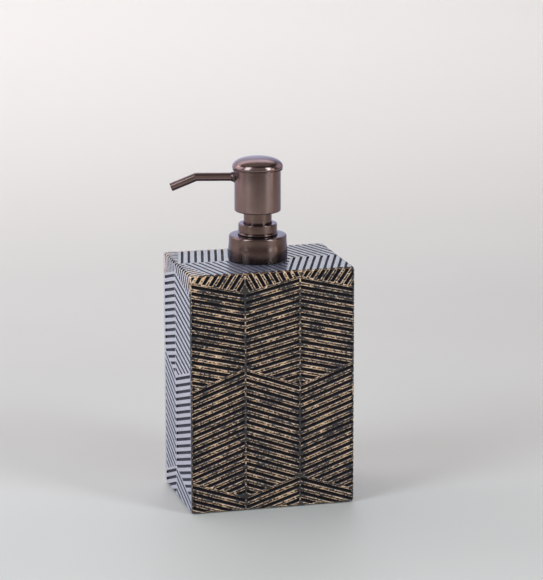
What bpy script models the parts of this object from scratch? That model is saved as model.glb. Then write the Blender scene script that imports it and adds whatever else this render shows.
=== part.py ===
"""Soap pump dispenser: a square cast-resin bottle with a 28/400 screw-on lotion pump in bronze metal covers.

Frame: metres, +Z up, the origin is on the surface that the bottle stands on, under the pump's axis.
The bottle's wide front face looks along -Y, and the spout points along -X, swung a little to the back.
"""

import math

import bmesh
import bpy
from mathutils import Matrix, Vector

MM = 0.001

# Bottle, cast in resin with an open bottom that a plate closes
BOTTLE_WIDTH = 88.0 * MM
BOTTLE_DEPTH = 62.0 * MM
BOTTLE_TOP = 127.4 * MM
BOTTLE_EDGE = 2.0 * MM
WALL = 4.5 * MM
TOP_WALL = 6.0 * MM
PAD_THICKNESS = 0.6 * MM
PAD_PROUD = 0.5 * MM
PAD_MARGIN = 7.0 * MM
PLATE_THICKNESS = 4.0 * MM
FIT_GAP = 0.3 * MM

# Neck and closure, 28/400 finish: 6 threads an inch
LEAD = 25.4 / 6 * MM
THREAD_SIZE = 0.8 * MM
NECK_BORE_R = 10.75 * MM
NECK_ROOT_R = 12.5 * MM
NECK_BARREL_R = 13.0 * MM
NECK_FLANGE_R = 16.0 * MM
NECK_FLANGE = 2.6 * MM
NECK_THREAD_R = 12.8 * MM
NECK_THREAD_START = 2.3 * MM
NECK_THREAD_TURNS = 1.15
CAP_THREAD_R = 13.75 * MM
CAP_THREAD_DROP = 1.7 * MM
CAP_THREAD_FIRST = 0.35
CAP_THREAD_TURNS = 0.95
CAP_INNER_R = 13.95 * MM
CAP_OUTER_R = 14.45 * MM
CAP_WALL = 1.4 * MM
GASKET = 1.0 * MM
HOUSING_FLANGE_R = 12.6 * MM
HOUSING_FLANGE = 1.2 * MM

# Metal covers of the pump
COLLAR_R = 15.55 * MM
COLLAR_UPPER_R = 15.15 * MM
COLLAR_TAPER_TOP = 9.4 * MM
COLLAR_TAPER_BOTTOM = 5.8 * MM
COLLAR_HEIGHT = 13.2 * MM
COLLAR_GAP = 0.4 * MM
COLLAR_ROUND = 1.4 * MM
SHEET = 0.6 * MM
RING_R = 10.45 * MM
RING_HEIGHT = 6.0 * MM
RING_LIP = 0.9 * MM
RING_GROOVE = 0.3 * MM
SLEEVE_R = 7.35 * MM
SLEEVE_VISIBLE = 6.4 * MM
SLEEVE_HIDDEN = 1.5 * MM
HEAD_R = 12.15 * MM
HEAD_HEIGHT = 21.9 * MM
HEAD_WALL = 1.0 * MM
HEAD_CHAMFER = 0.8 * MM
DOME_R = 13.3 * MM
DOME_SHOULDER = 1.3 * MM
DOME_HEIGHT = 6.8 * MM
DOME_SQUARENESS = 2.3

# Spout
SPOUT_R = 2.2 * MM
SPOUT_BORE_R = 1.6 * MM
SPOUT_ABOVE_HEAD_BASE = 18.1 * MM
SPOUT_STRAIGHT = 32.1 * MM
SPOUT_BEND_R = 3.2 * MM
SPOUT_DROOP = math.radians(22.5)
SPOUT_REACH = 46.0 * MM
SPOUT_INNER_END = 3.4 * MM
SPOUT_YAW = math.radians(13.3)
BUSH_R = 3.05 * MM
BUSH_NOSE_R = 2.75 * MM
BUSH_BORE_R = 2.5 * MM
BUSH_INSIDE = 3.2 * MM
BUSH_PROUD = 1.3 * MM

# Pump engine
STROKE = 11.0 * MM
CHAPLET_BORE_R = 7.65 * MM
CHAPLET_TUBE_R = 8.75 * MM
CHAPLET_HEAD_R = 9.5 * MM
CHAPLET_FLOOR = 2.0 * MM
CUP_BORE_R = 9.05 * MM
CUP_R = 10.25 * MM
CUP_FLOOR = 1.4 * MM
CHAMBER_BORE_R = 5.25 * MM
CHAMBER_R = 6.5 * MM
STEM_R = 3.8 * MM
STEM_BORE_R = 2.2 * MM
STEM_GROOVE_R = 2.75 * MM
ROD_R = 1.5 * MM
ROD_RIB_R = 2.4 * MM
LOST_MOTION = 1.2 * MM
PISTON_HEIGHT = 6.0 * MM
PISTON_LIP_R = 5.05 * MM
PISTON_BORE_R = 2.3 * MM
SPRING_WIRE_R = 0.45 * MM
SPRING_R = 3.7 * MM
SPRING_TURNS = 9
BALL_R = 2.5 * MM
BALL_BORE_R = 3.2 * MM
SEAT_BORE_R = 1.8 * MM
DIP_TUBE_R = 3.0 * MM
DIP_TUBE_BORE_R = 2.2 * MM
DIP_TUBE_BOTTOM = 9.0 * MM
DIP_TUBE_SOCKET = 9.0 * MM
DIP_TUBE_SLOPE = math.radians(40)

# Heights worked out from the sizes above
SHELL_BOTTOM = PAD_PROUD
PLATE_BOTTOM = PAD_THICKNESS + FIT_GAP
COLLAR_BOTTOM = BOTTLE_TOP + COLLAR_GAP
COLLAR_TOP = COLLAR_BOTTOM + COLLAR_HEIGHT
CAP_TOP = COLLAR_TOP - SHEET - FIT_GAP
CAP_TOP_INNER = CAP_TOP - CAP_WALL
FLANGE_TOP = CAP_TOP_INNER - FIT_GAP
FLANGE_BOTTOM = FLANGE_TOP - HOUSING_FLANGE
GASKET_BOTTOM = FLANGE_BOTTOM - FIT_GAP - GASKET
NECK_TOP = GASKET_BOTTOM - FIT_GAP
RING_BOTTOM = COLLAR_TOP + FIT_GAP
RING_TOP = COLLAR_TOP + RING_HEIGHT
HEAD_BOTTOM = RING_TOP + SLEEVE_VISIBLE
HEAD_TOP = HEAD_BOTTOM + HEAD_HEIGHT
SLEEVE_BOTTOM = RING_TOP - SLEEVE_HIDDEN
SPOUT_HEIGHT = HEAD_BOTTOM + SPOUT_ABOVE_HEAD_BASE
CORE_TOP = HEAD_TOP
CORE_DISC_BOTTOM = SPOUT_HEIGHT - 5.5 * MM
CORE_BOSS_BOTTOM = CORE_DISC_BOTTOM - 8.0 * MM
STEM_TOP = SPOUT_HEIGHT - SPOUT_R - 0.8 * MM

# Heights of the pump engine, from the chaplet's floor downwards
CHAPLET_FLOOR_TOP = SLEEVE_BOTTOM - STROKE - 1.2 * MM
CHAPLET_BOTTOM = CHAPLET_FLOOR_TOP - CHAPLET_FLOOR
SEAL_TOP = CHAPLET_BOTTOM - FIT_GAP
SEAL_BOTTOM = SEAL_TOP - 1.5 * MM
CUP_FLOOR_TOP = SEAL_BOTTOM - FIT_GAP
STEM_BOTTOM = CUP_FLOOR_TOP - 1.8 * MM
STEM_RIB = STEM_BOTTOM + 5.0 * MM
PISTON_TOP = STEM_BOTTOM - LOST_MOTION - FIT_GAP
PISTON_BOTTOM = PISTON_TOP - PISTON_HEIGHT
POPPET_SEAT_TOP = PISTON_BOTTOM - FIT_GAP
POPPET_FLANGE_BOTTOM = POPPET_SEAT_TOP - 3.4 * MM
SPRING_TOP = POPPET_FLANGE_BOTTOM - FIT_GAP
SPRING_BOTTOM = SPRING_TOP - 24.4 * MM
CAGE_TOP = SPRING_BOTTOM - FIT_GAP
CAGE_BOTTOM = CAGE_TOP - 2.2 * MM
CHAMBER_FLOOR = CAGE_BOTTOM - FIT_GAP
BALL_SEAT_TOP = CHAMBER_FLOOR - 5.2 * MM
BALL_SEAT_BOTTOM = BALL_SEAT_TOP - 1.8 * MM
BALL_CENTRE = BALL_SEAT_BOTTOM + 2.25 * MM
SOCKET_TOP = BALL_SEAT_BOTTOM - 1.5 * MM
SOCKET_BOTTOM = SOCKET_TOP - DIP_TUBE_SOCKET

LARGE_STEPS = 40
SMALL_STEPS = 28


def clear_scene():
    for obj in list(bpy.data.objects):
        bpy.data.objects.remove(obj, do_unlink=True)


def new_collection(name, render=True):
    collection = bpy.data.collections.new(name)
    collection.hide_render = not render
    bpy.context.scene.collection.children.link(collection)
    return collection


clear_scene()
PARTS = new_collection("soap_pump_dispenser")
CUTTERS = new_collection("cutters", render=False)


def principled(name, colour, roughness, metallic=0.0):
    material = bpy.data.materials.new(name)
    material.use_nodes = True
    shader = material.node_tree.nodes["Principled BSDF"]
    shader.inputs["Base Color"].default_value = (*colour, 1.0)
    shader.inputs["Roughness"].default_value = roughness
    shader.inputs["Metallic"].default_value = metallic
    return material


BRONZE = (0.105, 0.066, 0.052)
LACQUER = (0.012, 0.011, 0.017)


def finish(obj, colour, roughness, metallic=0.0):
    """Gives a piece its own material and smooth shading with sharp corners."""
    obj.data.materials.append(principled(obj.name, colour, roughness, metallic))
    if obj.type == "MESH":
        obj.data.shade_smooth()
        obj.data.set_sharp_from_angle(angle=math.radians(35))
    return obj


def add_empty(name, height):
    empty = bpy.data.objects.new(name, None)
    empty.location = (0.0, 0.0, height)
    PARTS.objects.link(empty)
    return empty


def put_under(obj, parent):
    """Parents a piece that is placed in world coordinates, keeping it where it is."""
    obj.parent = parent
    obj.matrix_parent_inverse = Matrix.Translation(-parent.location)


def cutter(obj):
    for collection in list(obj.users_collection):
        collection.objects.unlink(obj)
    CUTTERS.objects.link(obj)
    obj.hide_render = True
    obj.display_type = "WIRE"
    return obj


def turned(name, profile, steps, closed):
    """A turned piece: (radius, height) points that run down the outer side, on a Screw modifier."""
    mesh = bpy.data.meshes.new(name)
    points = [(radius, 0.0, height) for radius, height in profile]
    count = len(points)
    edges = [(i, i + 1) for i in range(count - 1)]
    if closed:
        edges.append((count - 1, 0))
    mesh.from_pydata(points, edges, [])
    obj = bpy.data.objects.new(name, mesh)
    PARTS.objects.link(obj)
    screw = obj.modifiers.new("Turn", "SCREW")
    screw.axis = "Z"
    screw.steps = steps
    screw.render_steps = steps
    screw.use_merge_vertices = True
    screw.merge_threshold = 0.00001
    bpy.context.view_layer.update()
    solid = obj.evaluated_get(bpy.context.evaluated_depsgraph_get())
    obj.data = bpy.data.meshes.new_from_object(solid)
    obj.modifiers.clear()
    bpy.data.meshes.remove(mesh)
    return obj


def ring(name, profile, steps=LARGE_STEPS):
    """A turned piece with a bore: the profile is a closed outline, down its outer side and up its bore."""
    return turned(name, profile, steps, closed=True)


def spindle(name, profile, steps=LARGE_STEPS):
    """A turned piece without a bore: the profile starts and ends on the axis."""
    return turned(name, profile, steps, closed=False)


def box(name, size, centre):
    bpy.ops.mesh.primitive_cube_add(size=1.0, location=centre)
    obj = bpy.context.object
    obj.name = name
    obj.data.name = name
    obj.data.transform(Matrix.Diagonal((*size, 1.0)))
    for collection in list(obj.users_collection):
        collection.objects.unlink(obj)
    PARTS.objects.link(obj)
    return obj


def bevel(obj, width, segments):
    modifier = obj.modifiers.new("Edges", "BEVEL")
    modifier.width = width
    modifier.segments = segments
    modifier.limit_method = "ANGLE"
    return modifier


def cut(obj, tool, operation="DIFFERENCE"):
    modifier = obj.modifiers.new(tool.name, "BOOLEAN")
    modifier.operation = operation
    modifier.object = cutter(tool)
    return modifier


def tube_mesh(name, points, radius, sides=2, radii=None):
    """A mesh made from a poly curve with a round bevel and welded caps."""
    data = bpy.data.curves.new(name, "CURVE")
    data.dimensions = "3D"
    data.bevel_depth = radius
    data.bevel_resolution = sides
    data.use_fill_caps = True
    data.twist_mode = "MINIMUM"
    spline = data.splines.new("POLY")
    spline.points.add(len(points) - 1)
    for index, (spot, place) in enumerate(zip(spline.points, points)):
        spot.co = (*place, 1.0)
        spot.radius = radii[index] if radii else 1.0
    curve = bpy.data.objects.new(name + "_curve", data)
    PARTS.objects.link(curve)
    bpy.context.view_layer.update()
    solid = curve.evaluated_get(bpy.context.evaluated_depsgraph_get())
    mesh = bpy.data.meshes.new_from_object(solid)
    mesh.name = name
    weld(mesh)
    obj = bpy.data.objects.new(name, mesh)
    PARTS.objects.link(obj)
    bpy.data.objects.remove(curve, do_unlink=True)
    return obj


def weld(mesh):
    work = bmesh.new()
    work.from_mesh(mesh)
    bmesh.ops.remove_doubles(work, verts=work.verts, dist=0.000005)
    bmesh.ops.recalc_face_normals(work, faces=work.faces)
    work.to_mesh(mesh)
    work.free()


def tube_profile(outer, inner, top, bottom):
    return [(outer, top), (outer, bottom), (inner, bottom), (inner, top)]


def arc(centre_r, centre_z, radius, start, end, count):
    """Points of a circular arc in the (radius, height) plane, angles in degrees from the radial direction."""
    points = []
    for index in range(count + 1):
        angle = math.radians(start + (end - start) * index / count)
        points.append((centre_r + radius * math.cos(angle), centre_z + radius * math.sin(angle)))
    return points


# ---------------------------------------------------------------- bottle


def make_bottle_shell():
    height = BOTTLE_TOP - SHELL_BOTTOM
    shell = box("bottle_shell", (BOTTLE_WIDTH, BOTTLE_DEPTH, height), (0, 0, SHELL_BOTTOM + height / 2))
    bevel(shell, BOTTLE_EDGE, 3)
    cavity_top = BOTTLE_TOP - TOP_WALL
    inner = (BOTTLE_WIDTH - 2 * WALL, BOTTLE_DEPTH - 2 * WALL, cavity_top + WALL)
    cavity = box("bottle_cavity", inner, (0, 0, (cavity_top - WALL) / 2))
    cut(shell, cavity)
    hole_r = NECK_BARREL_R + FIT_GAP
    hole = spindle("neck_hole", [(0, BOTTLE_TOP + WALL), (hole_r, BOTTLE_TOP + WALL), (hole_r, 0.1), (0, 0.1)])
    cut(shell, hole)
    return finish(shell, LACQUER, 0.35)


def helix(radius, start, first, turns, steps_per_turn=24):
    """Points of a right-handed helix that is at height start where turn 0 would be."""
    count = int(turns * steps_per_turn)
    points = []
    for index in range(count + 1):
        turn = first + turns * index / count
        angle = 2 * math.pi * turn
        points.append((radius * math.cos(angle), radius * math.sin(angle), start + LEAD * turn))
    return points


def thread(name, radius, start, first, turns):
    """One run of rounded thread that fades out at both ends."""
    points = helix(radius, start, first, turns)
    last = len(points) - 1
    radii = [min(1.0, 0.55 + 0.15 * min(index, last - index)) for index in range(last + 1)]
    return tube_mesh(name, points, THREAD_SIZE, sides=1, radii=radii)


def make_neck_insert():
    flange_top = BOTTLE_TOP - TOP_WALL - FIT_GAP
    profile = [
        (NECK_ROOT_R - 0.5 * MM, NECK_TOP),
        (NECK_ROOT_R, NECK_TOP - 0.5 * MM),
        (NECK_ROOT_R, BOTTLE_TOP + 0.3 * MM),
        (NECK_BARREL_R, BOTTLE_TOP - 0.3 * MM),
        (NECK_BARREL_R, flange_top),
        (NECK_FLANGE_R, flange_top),
        (NECK_FLANGE_R, flange_top - NECK_FLANGE),
        (NECK_BORE_R, flange_top - NECK_FLANGE),
        (NECK_BORE_R, NECK_TOP),
    ]
    neck = ring("neck_insert", profile)
    start = BOTTLE_TOP + NECK_THREAD_START
    cut(neck, thread("neck_thread", NECK_THREAD_R, start, 0.0, NECK_THREAD_TURNS), "UNION")
    return finish(neck, (0.75, 0.75, 0.72), 0.4)


def make_base_plate():
    size = (BOTTLE_WIDTH - 2 * (WALL + FIT_GAP), BOTTLE_DEPTH - 2 * (WALL + FIT_GAP), PLATE_THICKNESS)
    plate = box("base_plate", size, (0, 0, PLATE_BOTTOM + PLATE_THICKNESS / 2))
    return finish(plate, (0.05, 0.05, 0.055), 0.6)


def make_base_pad():
    size = (BOTTLE_WIDTH - 2 * PAD_MARGIN, BOTTLE_DEPTH - 2 * PAD_MARGIN, PAD_THICKNESS)
    pad = box("base_pad", size, (0, 0, PAD_THICKNESS / 2))
    return finish(pad, (0.02, 0.02, 0.02), 0.95)


# ---------------------------------------------------------------- closure


def make_closure_cap():
    hole_r = CHAPLET_TUBE_R + FIT_GAP
    profile = [
        (CAP_OUTER_R - 0.6 * MM, CAP_TOP),
        (CAP_OUTER_R, CAP_TOP - 0.8 * MM),
        (CAP_OUTER_R, COLLAR_BOTTOM + 0.4 * MM),
        (CAP_INNER_R, COLLAR_BOTTOM + 0.4 * MM),
        (CAP_INNER_R, CAP_TOP_INNER),
        (hole_r, CAP_TOP_INNER),
        (hole_r, CAP_TOP),
    ]
    cap = ring("closure_cap", profile)
    start = BOTTLE_TOP + NECK_THREAD_START - CAP_THREAD_DROP
    cut(cap, thread("cap_thread", CAP_THREAD_R, start, CAP_THREAD_FIRST, CAP_THREAD_TURNS), "UNION")
    return finish(cap, (0.03, 0.028, 0.03), 0.5)


def make_collar_sleeve():
    """Drawn metal cover of the closure: a rounded top rim, and a slow taper out to a wider foot."""
    inner_r = CAP_OUTER_R + FIT_GAP
    taper_top = COLLAR_BOTTOM + COLLAR_TAPER_TOP
    taper_bottom = COLLAR_BOTTOM + COLLAR_TAPER_BOTTOM
    hole_r = CHAPLET_TUBE_R + FIT_GAP
    rim = arc(COLLAR_UPPER_R - COLLAR_ROUND, COLLAR_TOP - COLLAR_ROUND, COLLAR_ROUND, 90, 0, 5)
    profile = [(hole_r, COLLAR_TOP)]
    profile += rim
    profile += [
        (COLLAR_UPPER_R, taper_top),
        (COLLAR_R, taper_bottom),
        (COLLAR_R, COLLAR_BOTTOM + 0.25 * MM),
        (COLLAR_R - 0.25 * MM, COLLAR_BOTTOM),
        (inner_r, COLLAR_BOTTOM),
        (inner_r, COLLAR_TOP - COLLAR_ROUND - 0.2 * MM),
        (inner_r - 1.2 * MM, COLLAR_TOP - SHEET),
        (hole_r, COLLAR_TOP - SHEET),
    ]
    return finish(ring("collar_sleeve", profile), BRONZE, 0.3, 1.0)


# ---------------------------------------------------------------- fixed pump unit


def make_neck_gasket():
    profile = tube_profile(NECK_ROOT_R, NECK_BORE_R, GASKET_BOTTOM + GASKET, GASKET_BOTTOM)
    return finish(ring("neck_gasket", profile, SMALL_STEPS), (0.7, 0.7, 0.68), 0.8)


def make_pump_housing():
    """Cup for the chaplet, pump chamber, ball seat and dip tube socket, in one moulding."""
    cup_bottom = CUP_FLOOR_TOP - CUP_FLOOR
    profile = [
        (HOUSING_FLANGE_R, FLANGE_TOP),
        (HOUSING_FLANGE_R, FLANGE_BOTTOM),
        (CUP_R, FLANGE_BOTTOM),
        (CUP_R, cup_bottom + 1.0 * MM),
        (CUP_R - 1.0 * MM, cup_bottom),
        (CHAMBER_R, cup_bottom),
        (CHAMBER_R, CHAMBER_FLOOR - 1.2 * MM),
        (BALL_BORE_R + 1.5 * MM, BALL_SEAT_TOP),
        (BALL_BORE_R + 1.5 * MM, SOCKET_BOTTOM),
        (DIP_TUBE_R + FIT_GAP, SOCKET_BOTTOM),
        (DIP_TUBE_R + FIT_GAP, SOCKET_TOP),
        (SEAT_BORE_R, SOCKET_TOP),
        (SEAT_BORE_R, BALL_SEAT_BOTTOM),
        (BALL_BORE_R, BALL_SEAT_TOP),
        (BALL_BORE_R, CHAMBER_FLOOR),
        (CHAMBER_BORE_R, CHAMBER_FLOOR),
        (CHAMBER_BORE_R, CUP_FLOOR_TOP),
        (CUP_BORE_R, CUP_FLOOR_TOP),
        (CUP_BORE_R, FLANGE_TOP),
    ]
    return finish(ring("pump_housing", profile, SMALL_STEPS), (0.78, 0.78, 0.76), 0.35)


def make_chaplet():
    """Plastic locking ring: its tube stands in the housing's cup and its head holds the closure down."""
    head_top = RING_TOP - SHEET - FIT_GAP
    stem_hole = STEM_R + FIT_GAP
    profile = [
        (CHAPLET_HEAD_R, head_top),
        (CHAPLET_HEAD_R, RING_BOTTOM),
        (CHAPLET_TUBE_R, RING_BOTTOM),
        (CHAPLET_TUBE_R, CHAPLET_BOTTOM),
        (stem_hole, CHAPLET_BOTTOM),
        (stem_hole, CHAPLET_FLOOR_TOP),
        (CHAPLET_BORE_R, CHAPLET_FLOOR_TOP),
        (CHAPLET_BORE_R, head_top),
    ]
    return finish(ring("chaplet", profile), (0.03, 0.028, 0.03), 0.45)


def make_step_ring():
    """Metal cover of the chaplet's head, with a lip and a fine groove at its foot."""
    outer = RING_R - RING_GROOVE
    profile = [
        (CHAPLET_BORE_R, RING_TOP),
        (outer - 0.5 * MM, RING_TOP),
        (outer, RING_TOP - 0.4 * MM),
        (outer, RING_BOTTOM + RING_LIP + RING_GROOVE),
        (outer - RING_GROOVE / 2, RING_BOTTOM + RING_LIP + RING_GROOVE / 2),
        (outer, RING_BOTTOM + RING_LIP),
        (RING_R, RING_BOTTOM + RING_LIP - 0.2 * MM),
        (RING_R, RING_BOTTOM),
        (CHAPLET_HEAD_R + FIT_GAP, RING_BOTTOM),
        (CHAPLET_HEAD_R + FIT_GAP, RING_TOP - SHEET),
        (CHAPLET_BORE_R, RING_TOP - SHEET),
    ]
    return finish(ring("step_ring", profile), BRONZE, 0.3, 1.0)


def make_stem_seal():
    profile = [
        (CHAPLET_TUBE_R - 0.5 * MM, SEAL_TOP),
        (CHAPLET_TUBE_R - 0.5 * MM, SEAL_BOTTOM),
        (STEM_R + 1.2 * MM, SEAL_BOTTOM),
        (STEM_R + 0.2 * MM, SEAL_BOTTOM + 0.5 * MM),
        (STEM_R + 0.2 * MM, SEAL_TOP - 0.5 * MM),
        (STEM_R + 1.2 * MM, SEAL_TOP),
    ]
    return finish(ring("stem_seal", profile, SMALL_STEPS), (0.55, 0.1, 0.08), 0.7)


def make_return_spring():
    """Compression spring with a closed, flat-lying turn at each end."""
    rise = SPRING_TOP - SPRING_BOTTOM - 2 * SPRING_WIRE_R
    end_rise = 2 * SPRING_WIRE_R + 0.1 * MM
    steps = 14
    points = []
    total = SPRING_TURNS + 2
    for index in range(total * steps + 1):
        turn = index / steps
        if turn <= 1:
            height = end_rise * turn
        elif turn >= total - 1:
            height = rise - end_rise * (total - turn)
        else:
            height = end_rise + (rise - 2 * end_rise) * (turn - 1) / SPRING_TURNS
        angle = 2 * math.pi * turn
        spot = (SPRING_R * math.cos(angle), SPRING_R * math.sin(angle))
        points.append((*spot, SPRING_BOTTOM + SPRING_WIRE_R + height))
    spring = tube_mesh("return_spring", points, SPRING_WIRE_R, sides=1)
    return finish(spring, (0.6, 0.6, 0.62), 0.25, 1.0)


def make_ball_cage():
    """Pressed ring with crossbars that stop the ball and carry the spring."""
    bore = BALL_R - 0.3 * MM
    profile = tube_profile(CHAMBER_BORE_R - FIT_GAP, bore, CAGE_TOP, CAGE_BOTTOM)
    cage = ring("ball_cage", profile, SMALL_STEPS)
    height = CAGE_TOP - CAGE_BOTTOM - 0.6 * MM
    bar = box("cage_bar", (2 * bore + 1.0 * MM, 1.2 * MM, height), (0, 0, (CAGE_TOP + CAGE_BOTTOM) / 2))
    cut(cage, bar, "UNION")
    return finish(cage, (0.78, 0.78, 0.76), 0.4)


def make_dip_tube():
    profile = tube_profile(DIP_TUBE_R, DIP_TUBE_BORE_R, SOCKET_TOP - FIT_GAP, DIP_TUBE_BOTTOM)
    tube = ring("dip_tube", profile, SMALL_STEPS)
    side = 8 * DIP_TUBE_R
    slope = box("dip_tube_cut", (side, side, side), (0, 0, DIP_TUBE_BOTTOM + DIP_TUBE_R))
    slope.data.transform(Matrix.Rotation(DIP_TUBE_SLOPE, 4, "Y") @ Matrix.Translation((0, 0, -side / 2)))
    cut(tube, slope)
    return finish(tube, (0.8, 0.8, 0.8), 0.3)


# ---------------------------------------------------------------- moving engine parts


def make_inlet_ball(parent):
    bpy.ops.mesh.primitive_uv_sphere_add(segments=16, ring_count=10, radius=BALL_R)
    ball = bpy.context.object
    ball.name = "inlet_ball"
    ball.location = (0, 0, BALL_CENTRE)
    for collection in list(ball.users_collection):
        collection.objects.unlink(ball)
    PARTS.objects.link(ball)
    put_under(ball, parent)
    return finish(ball, (0.6, 0.6, 0.62), 0.15, 1.0)


def make_poppet_rod(parent):
    """Valve rod: spring guide, flange, valve cone under the piston, and a rod that snaps into the stem."""
    rib_top = STEM_RIB + 0.6 * MM
    rib_bottom = STEM_RIB - 0.6 * MM
    rod_top = STEM_RIB + 3.0 * MM
    profile = [
        (0, rod_top),
        (ROD_R - 0.5 * MM, rod_top),
        (ROD_R, rod_top - 0.8 * MM),
        (ROD_R, rib_top),
        (ROD_RIB_R, rib_top - 0.4 * MM),
        (ROD_RIB_R, rib_bottom + 0.2 * MM),
        (ROD_R, rib_bottom),
        (ROD_R, POPPET_SEAT_TOP + 1.2 * MM),
        (ROD_R + 1.8 * MM, POPPET_SEAT_TOP - 0.6 * MM),
        (ROD_R + 1.8 * MM, POPPET_FLANGE_BOTTOM + 1.2 * MM),
        (SPRING_R + 0.6 * MM, POPPET_FLANGE_BOTTOM + 1.2 * MM),
        (SPRING_R + 0.6 * MM, POPPET_FLANGE_BOTTOM),
        (SPRING_R - SPRING_WIRE_R - 0.6 * MM, POPPET_FLANGE_BOTTOM),
        (SPRING_R - SPRING_WIRE_R - 1.0 * MM, POPPET_FLANGE_BOTTOM - 5.0 * MM),
        (0, POPPET_FLANGE_BOTTOM - 5.0 * MM),
    ]
    rod = spindle("poppet_rod", profile, SMALL_STEPS)
    put_under(rod, parent)
    return finish(rod, (0.75, 0.75, 0.72), 0.4)


def make_piston(parent):
    """Piston with a sealing lip at each end and a seat for the valve cone."""
    waist = PISTON_LIP_R - 0.8 * MM
    profile = [
        (PISTON_BORE_R + 0.9 * MM, PISTON_TOP),
        (PISTON_LIP_R - 0.5 * MM, PISTON_TOP - 0.4 * MM),
        (PISTON_LIP_R, PISTON_TOP - 0.4 * MM),
        (PISTON_LIP_R, PISTON_TOP - 1.0 * MM),
        (waist, PISTON_TOP - 1.8 * MM),
        (waist, PISTON_BOTTOM + 1.8 * MM),
        (PISTON_LIP_R, PISTON_BOTTOM + 1.0 * MM),
        (PISTON_LIP_R, PISTON_BOTTOM),
        (PISTON_LIP_R - 0.5 * MM, PISTON_BOTTOM),
        (ROD_R + 2.6 * MM, PISTON_BOTTOM + 0.6 * MM),
        (PISTON_BORE_R + 1.2 * MM, PISTON_BOTTOM),
        (PISTON_BORE_R, PISTON_BOTTOM + 1.2 * MM),
        (PISTON_BORE_R, PISTON_TOP),
    ]
    piston = ring("piston", profile, SMALL_STEPS)
    put_under(piston, parent)
    return finish(piston, (0.8, 0.8, 0.78), 0.45)


# ---------------------------------------------------------------- head


def make_stem_tube(parent):
    groove = 0.9 * MM
    profile = [
        (STEM_R, STEM_TOP),
        (STEM_R, STEM_BOTTOM),
        (STEM_BORE_R, STEM_BOTTOM),
        (STEM_BORE_R, STEM_RIB - groove - 0.2 * MM),
        (STEM_GROOVE_R, STEM_RIB - groove),
        (STEM_GROOVE_R, STEM_RIB + groove),
        (STEM_BORE_R, STEM_RIB + groove + 0.2 * MM),
        (STEM_BORE_R, STEM_TOP),
    ]
    stem = ring("stem_tube", profile, SMALL_STEPS)
    put_under(stem, parent)
    return finish(stem, (0.8, 0.8, 0.78), 0.35)


def make_stem_sleeve(parent):
    top = CORE_DISC_BOTTOM - FIT_GAP
    profile = tube_profile(SLEEVE_R, SLEEVE_R - SHEET, top, SLEEVE_BOTTOM)
    sleeve = ring("stem_sleeve", profile)
    put_under(sleeve, parent)
    return finish(sleeve, BRONZE, 0.3, 1.0)


def along_spout(distance, height):
    return Vector((-distance * math.cos(SPOUT_YAW), distance * math.sin(SPOUT_YAW), height))


def spout_rotation():
    """Turns a shape that stands along +Z so that it lies along the spout's direction."""
    return Matrix.Rotation(-SPOUT_YAW, 4, "Z") @ Matrix.Rotation(-math.pi / 2, 4, "Y")


def rod_along_spout(name, radius, near, far, steps=24):
    """A plain round cutter that lies along the spout's direction, from one distance to another."""
    bpy.ops.mesh.primitive_cylinder_add(vertices=steps, radius=radius, depth=far - near)
    rod = bpy.context.object
    rod.name = name
    rod.data.transform(spout_rotation())
    rod.location = along_spout((near + far) / 2, SPOUT_HEIGHT)
    return rod


def make_actuator_core(parent):
    """Plastic core that joins the stem to the spout inside the metal head."""
    disc_r = HEAD_R - HEAD_WALL - FIT_GAP
    boss_r = SLEEVE_R - SHEET - FIT_GAP
    socket_r = STEM_R + FIT_GAP
    profile = [
        (0, CORE_TOP),
        (disc_r - 0.4 * MM, CORE_TOP),
        (disc_r, CORE_TOP - 0.4 * MM),
        (disc_r, CORE_DISC_BOTTOM),
        (boss_r, CORE_DISC_BOTTOM),
        (boss_r, CORE_BOSS_BOTTOM),
        (socket_r, CORE_BOSS_BOTTOM),
        (socket_r, STEM_TOP + FIT_GAP),
        (STEM_BORE_R, STEM_TOP + FIT_GAP),
        (STEM_BORE_R, SPOUT_HEIGHT),
        (0, SPOUT_HEIGHT),
    ]
    core = spindle("actuator_core", profile)
    cut(core, rod_along_spout("spout_socket", SPOUT_R + FIT_GAP, 0.0, 2 * HEAD_R))
    start = HEAD_R - BUSH_INSIDE - FIT_GAP
    cut(core, rod_along_spout("bush_socket", BUSH_R + FIT_GAP, start, 2 * HEAD_R))
    put_under(core, parent)
    return finish(core, (0.03, 0.028, 0.03), 0.45)


def make_head_shell(parent):
    inner = HEAD_R - HEAD_WALL
    profile = [
        (HEAD_R, HEAD_TOP + FIT_GAP),
        (HEAD_R, HEAD_BOTTOM + HEAD_CHAMFER),
        (HEAD_R - HEAD_CHAMFER * 0.3, HEAD_BOTTOM + HEAD_CHAMFER * 0.3),
        (HEAD_R - HEAD_CHAMFER, HEAD_BOTTOM),
        (inner, HEAD_BOTTOM),
        (inner, HEAD_TOP + FIT_GAP),
    ]
    shell = ring("head_shell", profile, 48)
    cut(shell, rod_along_spout("spout_hole", BUSH_R + FIT_GAP, SPOUT_R * 2, 2 * HEAD_R))
    put_under(shell, parent)
    return finish(shell, BRONZE, 0.3, 1.0)


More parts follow.
